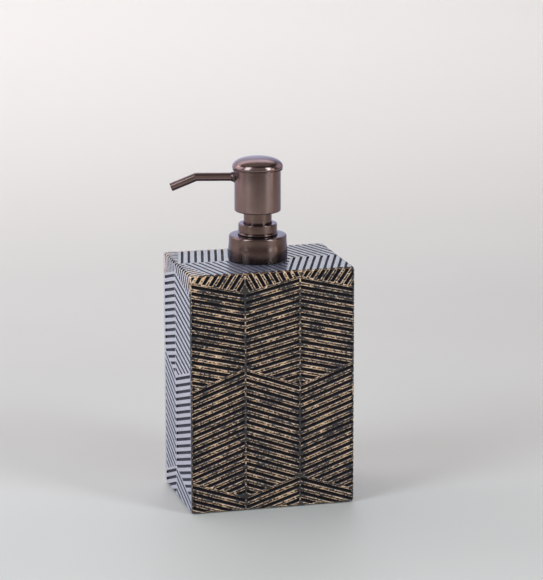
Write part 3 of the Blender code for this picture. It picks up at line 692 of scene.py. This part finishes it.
def column_tiles(face, left, right, angle, phase):
    """One column of a side face: zones between slanting lines, each with ribs parallel to the line above it.

    left and right are the column's sides: (place, the lines' levels there, how far the grooves stop short).
    Levels are millimetres down from the bottle's top. The first zone's ribs lie at angle, phase along.
    """
    left_u, left_levels, left_border = left
    right_u, right_levels, right_border = right
    limit = face.limit_v
    upper_left, upper_right = Vector((left_u, limit)), Vector((right_u, limit))
    for zone in range(len(left_levels) + 1):
        if zone < len(left_levels):
            lower_left = Vector((left_u, HALF_Z - left_levels[zone]))
            lower_right = Vector((right_u, HALF_Z - right_levels[zone]))
            lower_border = LINE_GAP
        else:
            lower_left, lower_right = Vector((left_u, -limit)), Vector((right_u, -limit))
            lower_border = None
        tile = [upper_left, lower_left, lower_right, upper_right]
        if zone == 0:
            direction = angle
            through = upper_left + Vector((phase, 0.0))
            upper_border = None
        else:
            slope = upper_right - upper_left
            direction = math.atan2(slope.y, slope.x)
            inward = Vector((slope.y, -slope.x)).normalized()
            through = upper_left + inward * FIRST_LINE
            upper_border = FIRST_GAP
        borders = (left_border, lower_border, right_border, upper_border)
        carve_tile(face, tile, direction, through, borders, left_u * 3.1 + zone * 17.0)
        upper_left, upper_right = lower_left, lower_right


# How far down the slanting lines are, at the column boundaries of the wide and of the narrow faces
HIGH_START = (3.4, 61.3, 110.3)
LOW_START = (10.4, 50.8, 120.0)
SIDE_ENDS = (11.8, 51.0, 119.8)
SIDE_MIDDLE = (4.8, 61.0, 110.5)
SIDE_MIDDLE_U = 3.3
BACK_MARGIN = 3.4
# Grooves of the left face's front column meet those of the top face's corner on the edge between them
WRAP_PHASE = 2.0
WRAP_ANGLE = math.radians(30.0)
# The top's slanting lines: (row's side of the middle, the first line's X at the middle and at the row's end)
TOP_ROWS = ((-1.0, -41.0, -33.5), (1.0, -42.6, -35.4))
TOP_MIDDLE_X = 18.0
TOP_SLANT = 11.0


def carve_wide_face(face):
    """Three columns; the zones' lines zigzag between two heights."""
    third = 2 * face.half_u / 3
    plans = (
        (-face.limit_u, HIGH_START, CORNER_RIDGE, -third / 2, LOW_START, RIDGE, 57.0, 1.6),
        (-third / 2, LOW_START, RIDGE, third / 2, HIGH_START, RIDGE, -61.0, 2.2),
        (third / 2, HIGH_START, RIDGE, face.limit_u, LOW_START, None, 56.0, 0.4),
    )
    for *sides, angle, phase in plans:
        column_tiles(face, sides[:3], sides[3:], math.radians(angle), phase)


def carve_narrow_face(face, back_first):
    """Two columns, split near the middle of the depth; the grooves stop short of the back edge."""
    edge = face.limit_u
    angles = (-72.0, 60.0) if back_first else (120.0, 72.0)
    margins = (BACK_MARGIN, CORNER_RIDGE) if back_first else (CORNER_RIDGE, BACK_MARGIN)
    middle = (-SIDE_MIDDLE_U if back_first else SIDE_MIDDLE_U, SIDE_MIDDLE, RIDGE)
    column_tiles(face, (-edge, SIDE_ENDS, margins[0]), middle, math.radians(angles[0]), 1.0)
    column_tiles(face, middle, (edge, SIDE_ENDS, margins[1]), math.radians(angles[1]), WRAP_PHASE)


def carve_top_face(face):
    """Two rows, in front of and behind the middle, cut by slanting lines that their ribs follow."""
    side, end = face.limit_u, face.limit_v
    for sign, start_x, end_x in TOP_ROWS:
        lines = [
            (Vector((start_x, 0.0)), Vector((end_x, sign * end))),
            (Vector((TOP_MIDDLE_X, 0.0)), Vector((TOP_MIDDLE_X - TOP_SLANT, sign * end))),
            (Vector((side, 0.0)), Vector((side, sign * end))),
        ]
        corner = [Vector((-side, 0.0)), Vector((-side, sign * end)), lines[0][1], lines[0][0]]
        through = Vector((-side, sign * WRAP_PHASE))
        borders = (None, None, SEAM_GAP, RIDGE)
        add_top_tile(face, corner, WRAP_ANGLE * -sign, through, sign, borders, 5.0 + sign)
        for index in (0, 1):
            (near, far), (next_near, next_far) = lines[index], lines[index + 1]
            slope = far - near
            direction = math.atan2(slope.y, slope.x)
            inward = Vector((-slope.y, slope.x)).normalized()
            if inward.x < 0:
                inward = -inward
            through = near + inward * FIRST_LINE
            tile = [near, far, next_far, next_near]
            borders = (FIRST_GAP, None, LINE_GAP if index == 0 else None, RIDGE)
            add_top_tile(face, tile, direction, through, sign, borders, 31.0 * (index + 1) + sign)


def add_top_tile(face, tile, direction, through, sign, borders, seed):
    """Passes a top tile on, turned anticlockwise where it lies behind the middle."""
    if sign > 0:
        tile = [tile[0], tile[3], tile[2], tile[1]]
        borders = (borders[3], borders[2], borders[1], borders[0])
    carve_tile(face, tile, direction, through, borders, seed)


def anticlockwise(outline):
    """The outline turned anticlockwise, from its longest edge on, which the triangulation handles best."""
    if area(outline) < 0:
        outline = outline[::-1]
    longest = max(range(len(outline)), key=lambda index: (outline[index] - outline[index - 1]).length)
    return outline[longest - 1:] + outline[:longest - 1]


def edge_lines(face):
    """Pairs of points: lines along the sheet where the body's rounded edges bend."""
    u, v = face.limit_u, face.limit_v
    lines = []
    for step in range(ARC_STEPS):
        turn = EDGE_R * math.pi / 4 * step / ARC_STEPS
        for sign in (-1.0, 1.0):
            line_u = sign * (face.half_u - EDGE_R + turn)
            line_v = sign * (face.half_v - EDGE_R + turn)
            lines += [((line_u, -v), (line_u, v)), ((-u, line_v), (u, line_v))]
    return lines


def sheet_of(face):
    """The face's sheet as a bmesh in place on the body, triangulated, with every groove sunk in it."""
    verts = []
    outlines = []
    holes = hole_outlines(face)
    for outline in [rectangle(face.limit_u, face.limit_v)] + holes + [cut[0] for cut in face.cuts]:
        outlines.append(list(range(len(verts), len(verts) + len(outline))))
        verts += anticlockwise(outline)
    edges = []
    for line in edge_lines(face):
        edges.append((len(verts), len(verts) + 1))
        verts += [Vector(point) for point in line]
    points, _, triangles, _, _, origins = delaunay_2d_cdt(verts, edges, outlines, 1, MERGED, True)
    first_cut = 1 + len(holes)
    cuts_of = cuts_in(face, points, triangles, origins, first_cut)
    touching = [set() for _ in points]
    for triangle, numbers in zip(triangles, cuts_of):
        for index in triangle:
            touching[index].update(numbers)
    work = bmesh.new()
    worn = work.verts.layers.float.new("worn")
    edge = work.verts.layers.float.new("edge")
    made = []
    for point, numbers in zip(points, touching):
        depth = min((depth_at(face.cuts[number], point) for number in numbers), default=0.0)
        vert = work.verts.new(face.place(point.x, point.y, depth))
        vert[worn] = 1.0 if all(face.cuts[number][1] < OUTLINE_LEVEL for number in numbers) else 0.0
        vert[edge] = max(0.0, 1.0 - face.below_rim(point) / WORN_EDGE)
        made.append(vert)
    seen = set()
    for triangle, origin, numbers in zip(triangles, origins, cuts_of):
        key = tuple(sorted(triangle))
        if key in seen or any(0 < number < first_cut for number in origin):
            continue
        seen.add(key)
        level = max((face.cuts[number][1] for number in numbers), default=0)
        flat = work.faces.new([made[index] for index in triangle])
        flat.material_index = GROOVE_SLOT if level >= DARK_LEVEL else LAND_SLOT
    for vert in [vert for vert in work.verts if not vert.link_faces]:
        work.verts.remove(vert)
    return work


def cuts_in(face, points, triangles, origins, first_cut):
    """The numbers of the cuts that hold each triangle.

    The triangulation sometimes floods past a cut's outline, so a cut that covers far more than its own area
    is tested against its outline, triangle by triangle.
    """
    covered = [0.0] * len(face.cuts)
    found = [[number - first_cut for number in origin if number >= first_cut] for origin in origins]
    for numbers, triangle in zip(found, triangles):
        size = abs(area([points[index] for index in triangle]))
        for number in numbers:
            covered[number] += size
    flooded = set()
    for number, size in enumerate(covered):
        if size > FLOODED * abs(area(face.cuts[number][0])) + FLOODED_AREA:
            flooded.add(number)
    result = []
    for triangle, numbers in zip(triangles, found):
        centre = sum((points[index] for index in triangle), Vector((0.0, 0.0))) / 3
        result.append([n for n in numbers if n not in flooded or holds(face.cuts[n][0], centre)])
    return result


def holds(outline, point):
    inside = False
    for before, here in edges_of(outline):
        if (here.y > point.y) != (before.y > point.y):
            crossing = here.x + (point.y - here.y) * (before.x - here.x) / (before.y - here.y)
            inside ^= point.x < crossing
    return inside


def rectangle(half_u, half_v):
    corner = Vector((half_u, half_v))
    return [corner * Vector((u, v)) for u, v in ((-1, -1), (1, -1), (1, 1), (-1, 1))]


def hole_outlines(face):
    """The neck's hole in the top face and the open bottom's rectangle in the lower face."""
    if face.name == "top":
        return [[Vector(spot) for spot in circle(HOLE_R, HOLE_STEPS)]]
    if face.name == "bottom":
        return [rectangle(HALF_X - WALL, HALF_Y - WALL)]
    return []


def add_cavity(work):
    """The bottle's inside: four walls up from the open bottom, a ceiling, and the neck's hole to the top."""
    x, y = HALF_X - WALL, HALF_Y - WALL
    floor_z, ceiling_z, top_z = CENTRE_Z - HALF_Z, CENTRE_Z + HALF_Z - TOP_WALL, CENTRE_Z + HALF_Z
    plan = [(x, y), (-x, y), (-x, -y), (x, -y)]
    hole = circle(HOLE_R, HOLE_STEPS)
    levels = ((plan, floor_z), (plan, ceiling_z), (hole, ceiling_z), (hole, top_z))
    low, high, below, above = [
        [work.verts.new((px * MM, py * MM, z * MM)) for px, py in outline] for outline, z in levels
    ]
    made = bridge(work, low, high) + bridge(work, below, above)
    quarter = HOLE_STEPS // 4
    for index in range(4):
        arc = [below[(index * quarter + step) % HOLE_STEPS] for step in range(quarter + 1)]
        for first, second in zip(arc, arc[1:]):
            made.append(work.faces.new((high[index], first, second)))
        made.append(work.faces.new((high[index], arc[-1], high[(index + 1) % 4])))
    for face in made:
        face.material_index = INSIDE_SLOT


def make_bottle(materials):
    faces = [
        Face("front", (1, 0, 0), (0, 0, 1), HALF_X, HALF_Z, HALF_Y, GROOVE),
        Face("back", (-1, 0, 0), (0, 0, 1), HALF_X, HALF_Z, HALF_Y, GROOVE),
        Face("left", (0, -1, 0), (0, 0, 1), HALF_Y, HALF_Z, HALF_X, NARROW_GROOVE),
        Face("right", (0, 1, 0), (0, 0, 1), HALF_Y, HALF_Z, HALF_X, NARROW_GROOVE),
        Face("top", (1, 0, 0), (0, 1, 0), HALF_X, HALF_Y, HALF_Z, TOP_GROOVE),
        Face("bottom", (1, 0, 0), (0, -1, 0), HALF_X, HALF_Y, HALF_Z, GROOVE),
    ]
    for face in faces:
        face.neighbours = faces
    front, back, left, right, top, _ = faces
    carve_wide_face(front)
    carve_wide_face(back)
    carve_narrow_face(left, back_first=True)
    carve_narrow_face(right, back_first=False)
    carve_top_face(top)
    body = bmesh.new()
    for face in faces:
        part = sheet_of(face)
        mesh = bpy.data.meshes.new("sheet")
        part.to_mesh(mesh)
        part.free()
        body.from_mesh(mesh)
        bpy.data.meshes.remove(mesh)
    add_cavity(body)
    bmesh.ops.remove_doubles(body, verts=body.verts, dist=SAME_PLACE)
    bottle = publish("carved_bottle", body, materials, angle=48.0)
    bottle.modifiers.new("Flat lands", "WEIGHTED_NORMAL").keep_sharp = True
    declare(bottle, "bottle", "resin_black", "bottle_shell")


# ---- the pump's metal covers


def turn_cover(name, node, body, outline, material, steps=5, segments=128):
    """A turned bronze piece from (radius, height, round) corners, in its node's place."""
    cover = publish(name, revolve(rounded(outline, steps), segments=segments), [material])
    declare(cover, body, "bronze", node)
    return cover


def make_collar(material):
    r, top, bottom = extent("collar_sleeve")
    taper_top = bottom + 9.4
    taper_bottom = bottom + 5.8
    sheet = 0.6
    hole = 9.05
    upper = r - 0.4
    outline = [
        (hole, top, 0.1),
        (upper, top, 1.0),
        (upper, taper_top, 1.6),
        (r, taper_bottom, 1.6),
        (r, bottom, 0.25),
        (r - sheet, bottom, 0.1),
        (upper - 0.35, taper_bottom, 0.1),
        (upper - 0.35, top - 1.4, 0.2),
        (upper - 1.4, top - sheet, 0.2),
        (hole, top - sheet, 0.1),
    ]
    turn_cover("collar", "collar_sleeve", "closure", outline, material)


def make_step_ring(material):
    r, top, bottom = extent("step_ring")
    body_r = r - 0.3
    lip = bottom + 0.9
    hole = 7.65
    inner = 9.8
    sheet = 0.6
    outline = [
        (hole, top, 0.15),
        (body_r, top, 0.45),
        (body_r, lip + 0.45, 0.1),
        (body_r - 0.25, lip + 0.2, 0.1),
        (body_r, lip, 0.1),
        (r, lip - 0.2, 0.2),
        (r, bottom, 0.12),
        (inner, bottom, 0.05),
        (inner, top - sheet, 0.1),
        (hole, top - sheet, 0.05),
    ]
    turn_cover("locking_ring_cover", "step_ring", "pump_unit", outline, material)


def pipe_outline(node, wall, foot_cut):
    """A plain tube's section in its node's box, with its lower outer edge rounded by foot_cut."""
    r, top, bottom = extent(node)
    return [(r, top, 0.1), (r, bottom, foot_cut), (r - wall, bottom, 0.1), (r - wall, top, 0.1)]


def make_sleeve(material):
    outline = pipe_outline("stem_sleeve", 0.6, 0.2)
    turn_cover("stem_cover", "stem_sleeve", "head", outline, material, steps=3)


SPOUT_YAW = math.radians(13.3)
SPOUT_DROOP = math.radians(22.5)
SPOUT_R = 2.2 * MM
SPOUT_BORE_R = 1.6 * MM
SPOUT_STRAIGHT = 32.1 * MM
SPOUT_REACH = 46.0 * MM
SPOUT_BEND_R = 3.2 * MM


def spout_matrix():
    """Turns something that lies along +X so that it lies along the spout, at the spout's height."""
    height = corners("spout_tube")[1].z - SPOUT_R
    turn = Matrix.Rotation(math.pi - SPOUT_YAW, 4, "Z")
    return Matrix.Translation((0, 0, height)) @ turn


def make_head_shell(material):
    outline = pipe_outline("head_shell", 1.0, 0.9)
    shell = turn_cover("head_barrel", "head_shell", "head", outline, material, steps=6, segments=160)
    line = [Vector((4 * MM, 0, 0)), Vector((30 * MM, 0, 0))]
    drill = publish("spout_drill", sweep(line, SPOUT_R + 0.5 * MM, sides=48), [])
    drill.data.transform(spout_matrix())
    shell.modifiers.new("Spout hole", "BOOLEAN").object = drill
    bpy.context.view_layer.update()
    cut = bpy.data.meshes.new_from_object(shell.evaluated_get(bpy.context.evaluated_depsgraph_get()))
    shell.modifiers.clear()
    shell.data = cut
    shell.data.shade_smooth()
    shell.data.set_sharp_from_angle(angle=math.radians(SHARP))
    bpy.data.objects.remove(drill, do_unlink=True)


def make_head_cap(material):
    """Flattened mushroom, a superellipse in section, with a fine groove above its rim over the barrel."""
    r, top, bottom = extent("head_cap")
    crown = bottom + 1.3
    rise = top - crown
    power = 2 / 2.3
    points = [Vector((0.0, top))]
    count = 28
    for index in range(1, count + 1):
        angle = math.pi / 2 * (1 - index / count)
        points.append(Vector((r * math.cos(angle) ** power, crown + rise * math.sin(angle) ** power)))
    barrel_r = extent("head_shell")[0]
    under = rounded([
        (r, crown, 0.0),
        (r - 0.25, bottom + 0.75, 0.25),
        (r - 0.85, bottom + 0.6, 0.05),
        (r - 0.85, bottom + 0.42, 0.05),
        (r - 0.2, bottom + 0.36, 0.08),
        (r - 0.2, bottom + 0.12, 0.08),
        (r - 0.45, bottom, 0.08),
        (barrel_r + 0.25, bottom, 0.08),
        (barrel_r + 0.25, bottom + 0.55, 0.1),
        (0.0, bottom + 0.55, 0.0),
    ], closed=False)
    cap = publish("head_button", revolve(points + under[1:], closed=False, segments=160), [material])
    declare(cap, "head", "bronze", "head_cap")


def spout_path():
    """Centre line of the spout along its own direction: level, one tight bend, then down to the tip."""
    start = SPOUT_STRAIGHT - SPOUT_BEND_R * math.tan(SPOUT_DROOP / 2)
    points = [Vector((x, 0, 0)) for x in (3.4 * MM, 12.0 * MM, start - 1.5 * MM, start)]
    steps = 8
    for index in range(1, steps + 1):
        angle = SPOUT_DROOP * index / steps
        drop = SPOUT_BEND_R * (1 - math.cos(angle))
        points.append(Vector((start + SPOUT_BEND_R * math.sin(angle), 0, -drop)))
    last = points[-1]
    rest = SPOUT_REACH - SPOUT_R * math.sin(SPOUT_DROOP) - last.x
    for share in (0.1, 0.6, 1.0):
        points.append(last + Vector((rest * share, 0, -rest * share * math.tan(SPOUT_DROOP))))
    return points


def soften_edges(piece, width, segments, sharper_than=30.0):
    soft = piece.modifiers.new("Soft edges", "BEVEL")
    soft.width = width
    soft.segments = segments
    soft.limit_method = "ANGLE"
    soft.angle_limit = math.radians(sharper_than)


def make_spout(material, dark):
    work = sweep(spout_path(), SPOUT_R, SPOUT_BORE_R, sides=56)
    tube = publish("spout_pipe", work, [material], angle=40.0)
    tube.data.transform(spout_matrix())
    soften_edges(tube, 0.12 * MM, 2, sharper_than=60.0)
    declare(tube, "head", "bronze", "spout_tube")
    inside = SPOUT_R / MM + 0.06
    outline = [
        (inside + 0.1, 1.7, 0.08),
        (2.6, 0.75, 0.5),
        (3.4, -0.35, 0.2),
        (2.66, -0.5, 0.05),
        (2.66, -3.0, 0.1),
        (inside, -3.0, 0.05),
        (inside, 1.7, 0.03),
    ]
    # The collar gets the darker bronze: painted shade under the head's dome.
    bush = publish("spout_collar", revolve(rounded(outline, 4), segments=64), [dark])
    on_barrel = Matrix.Translation((corners("head_shell")[1].x, 0, 0)) @ Matrix.Rotation(math.pi / 2, 4, "Y")
    bush.data.transform(spout_matrix() @ on_barrel)
    declare(bush, "head", "bush_black", "spout_bush")


# ---- base and inner pieces


def rounded_slab(name, node, corner, edge, material):
    """A flat piece with rounded plan corners and softened edges, in its model box."""
    low, high = corners(node)
    work = bmesh.new()
    ring = []
    for sx, sy, start in ((1, 1, 0), (-1, 1, 90), (-1, -1, 180), (1, -1, 270)):
        centre = Vector((sx * (high.x - corner), sy * (high.y - corner)))
        for step in range(9):
            angle = math.radians(start + 90 * step / 8)
            spot = centre + Vector((math.cos(angle), math.sin(angle))) * corner
            ring.append(work.verts.new((spot.x, spot.y, low.z)))
    slab = work.faces.new(ring)
    lifted = bmesh.ops.extrude_face_region(work, geom=[slab])
    for item in lifted["geom"]:
        if isinstance(item, bmesh.types.BMVert):
            item.co.z = high.z
    piece = publish(name, work, [material])
    soften_edges(piece, edge, 3)
    return piece


def make_spring(material):
    """Close-wound end coils with open ones between; built at rest length, though the real spring shortens as
    the pump is pressed.
    """
    low, high = corners("return_spring")
    wire = 0.45 * MM
    radius = high.x - wire
    turns, steps = 11, 28
    rise = high.z - low.z - 2 * wire
    flat = 2 * wire + 0.1 * MM
    path = []
    for index in range(turns * steps + 1):
        turn = index / steps
        if turn <= 1:
            height = flat * turn
        elif turn >= turns - 1:
            height = rise - flat * (turns - turn)
        else:
            height = flat + (rise - 2 * flat) * (turn - 1) / (turns - 2)
        angle = 2 * math.pi * turn
        path.append(Vector((radius * math.cos(angle), radius * math.sin(angle), low.z + wire + height)))
    spring = publish("coil_spring", sweep(path, wire, sides=12), [material])
    declare(spring, "pump_unit", "steel", "return_spring")
    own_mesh(spring)


def recolour(material, *nodes):
    for node in nodes:
        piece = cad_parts[node]
        piece.data.materials.clear()
        piece.data.materials.append(material)


# ---- camera, floor and light
CAMERA_LENS = 180.92
CAMERA_PLACE = Vector((-0.37339, -1.44592, 0.45656))
# Azimuth, elevation and roll, in degrees
CAMERA_TURN = (-14.755, 13.037, -0.095)


def make_camera():
    data = bpy.data.cameras.new("camera")
    data.lens = CAMERA_LENS
    data.sensor_width = 36.0
    data.clip_end = 20.0
    camera = bpy.data.objects.new("camera", data)
    bpy.context.scene.collection.objects.link(camera)
    azimuth, elevation, roll = [math.radians(angle) for angle in CAMERA_TURN]
    level = math.cos(elevation)
    back = Vector((math.sin(azimuth) * level, -math.cos(azimuth) * level, math.sin(elevation)))
    right = (-back).cross(Vector((0, 0, 1))).normalized()
    up = right.cross(-back)
    turned_right = right * math.cos(roll) + up * math.sin(roll)
    turned_up = up * math.cos(roll) - right * math.sin(roll)
    pose = Matrix((turned_right, turned_up, back)).transposed().to_4x4()
    pose.translation = CAMERA_PLACE
    camera.matrix_world = pose
    bpy.context.scene.camera = camera


# The counter's two tones, the paler colour painted towards the back as painted light, and how far back that
# begins and ends, in metres
COUNTER = (0.690, 0.634, 0.592), (0.731, 0.672, 0.627)
COUNTER_PAINTED_LIGHT = (0.795, 0.745, 0.696)
FAR_BEGINS, FAR_ENDS = 0.2, 1.1
# The counter runs back to BACK_WALL and bends up into a wall WALL_TOP high
COUNTER_FRONT, BACK_WALL, WALL_BEND, WALL_TOP = -6.0, 2.2, 1.2, 6.0
COUNTER_HALF = 7.0


def make_floor():
    made = Surface("counter_grey", 0.55)
    cloud = made.span(made.noise(0.25, 2.0), 0.3, 0.7)
    # Painted light: the counter is painted paler towards the back, where the room is brighter.
    distance = made.span(made.along("Y"), FAR_BEGINS, FAR_ENDS, smooth=True)
    made.set("Base Color", made.mix(distance, made.mix(cloud, *COUNTER), COUNTER_PAINTED_LIGHT))
    work = bmesh.new()
    outline = [(COUNTER_FRONT, 0.0), (BACK_WALL, 0.0)]
    steps = 12
    for step in range(1, steps + 1):
        angle = math.radians(90 * step / steps)
        outline.append((BACK_WALL + WALL_BEND * math.sin(angle), WALL_BEND * (1 - math.cos(angle))))
    outline.append((BACK_WALL + WALL_BEND, WALL_TOP))
    rows = [[work.verts.new((x, y, z)) for x in (-COUNTER_HALF, COUNTER_HALF)] for y, z in outline]
    for first, second in zip(rows, rows[1:]):
        work.faces.new((first[0], first[1], second[1], second[0]))
    publish("studio_floor", work, [made.material])


MIDDLE = (0.0, 0.0, 0.1)
COOL, WHITE = (0.90, 0.91, 1.0), (1.0, 1.0, 1.0)
# Name, place, what it faces, (width, height) in metres, watts, colour. A long cool window wall and a warmer
# panel behind, windows at the sides, dim fills above and in front, two soft boxes and a strip by the camera.
LIGHTS = (
    ("back_window", (-0.3, 2.45, 0.95), (-0.3, 0.0, 0.5), (4.6, 1.8), 16.0, (0.74, 0.83, 1.0)),
    ("rear_panel", (-0.8, 1.80, 1.7), (-0.8, 2.35, 0.0), (4.0, 1.8), 41.0, (0.98, 0.975, 0.99)),
    ("left_window", (-2.3, 0.9, 0.9), MIDDLE, (2.0, 1.6), 21.0, COOL),
    ("right_window", (2.3, 0.9, 0.9), MIDDLE, (2.0, 1.6), 9.0, COOL),
    ("ceiling_bounce", (0.0, 0.5, 2.2), MIDDLE, (2.8, 1.8), 4.0, WHITE),
    ("front_fill", (-0.7, -2.6, 1.3), MIDDLE, (3.2, 2.4), 7.5, WHITE),
    ("front_left_box", (-0.92, -0.47, 0.68), MIDDLE, (0.44, 1.05), 8.0, (0.72, 0.90, 1.0)),
    ("front_right_box", (0.75, -0.94, 0.60), MIDDLE, (0.36, 0.95), 8.2, (0.74, 0.91, 1.0)),
    ("right_strip", (1.03, -0.61, 0.30), (0.0, 0.0, 0.16), (0.22, 0.5), 0.8, (1.0, 0.93, 0.82)),
)
ROOM_COLOUR, ROOM_STRENGTH = (0.95, 0.93, 0.90, 1.0), 0.09


def make_lights():
    for name, place, target, size, watts, colour in LIGHTS:
        data = bpy.data.lights.new(name, "AREA")
        data.shape = "RECTANGLE"
        data.size, data.size_y = size
        data.energy = watts
        data.color = colour
        light = bpy.data.objects.new(name, data)
        light.location = place
        light.rotation_euler = (Vector(target) - Vector(place)).to_track_quat("-Z", "Y").to_euler()
        bpy.context.scene.collection.objects.link(light)
    world = bpy.data.worlds.new("studio")
    world.use_nodes = True
    room = world.node_tree.nodes["Background"]
    room.inputs["Color"].default_value = ROOM_COLOUR
    room.inputs["Strength"].default_value = ROOM_STRENGTH
    bpy.context.scene.world = world
    bpy.context.scene.view_settings.view_transform = "Standard"


# ---- put together


def main():
    bronze = make_bronze("bronze_satin", BRONZE)
    bronze_low = make_bronze("bronze_lower", BRONZE_LOW)
    foot = corners("collar_sleeve")[0].z
    # Painted shade: the collar's bronze darkens towards its foot.
    bronze_collar = make_bronze("bronze_collar", BRONZE_LOW, (foot - 1 * MM, foot + 9 * MM))
    # Painted shade: darker bronze for the spout's collar under the head's dome.
    spout_collar_shaded = make_bronze("bronze_in_shade", SPOUT_COLLAR_SHADE)
    black = make_plastic("black_moulding", BLACK, 0.48, 0.35 * MM, 0.25)
    natural = make_plastic("natural_moulding", NATURAL, 0.40, 0.6 * MM, 0.12, clear=True)
    seal = make_plastic("seal_rubber", SEAL_RED, 0.7, 0.4 * MM, 0.3)
    gasket = make_plastic("gasket_foam", GASKET, 0.85, 0.3 * MM, 0.6)
    foam = make_foam()
    steel = make_steel()
    inside = make_plastic("cast_resin_inside", RAW_RESIN, 0.6, 0.8 * MM, 0.4)

    make_bottle([make_land_material(), make_groove_material(), inside])
    make_collar(bronze_collar)
    make_step_ring(bronze_low)
    make_sleeve(bronze_low)
    make_head_shell(bronze)
    make_head_cap(bronze)
    make_spout(bronze, spout_collar_shaded)
    plate = rounded_slab("bottom_plate", "base_plate", 1.5 * MM, 0.3 * MM, black)
    declare(plate, "bottle", "black_plastic", "base_plate")
    pad = rounded_slab("foam_pad", "base_pad", 5.0 * MM, 0.12 * MM, foam)
    declare(pad, "bottle", "pad_foam", "base_pad")
    make_spring(steel)
    recolour(steel, "inlet_ball")
    recolour(natural, "neck_insert", "pump_housing", "ball_cage", "dip_tube")
    recolour(natural, "poppet_rod", "piston", "stem_tube")
    recolour(black, "closure_cap", "chaplet", "actuator_core")
    recolour(seal, "stem_seal")
    recolour(gasket, "neck_gasket")
    make_camera()
    make_floor()
    make_lights()


main()
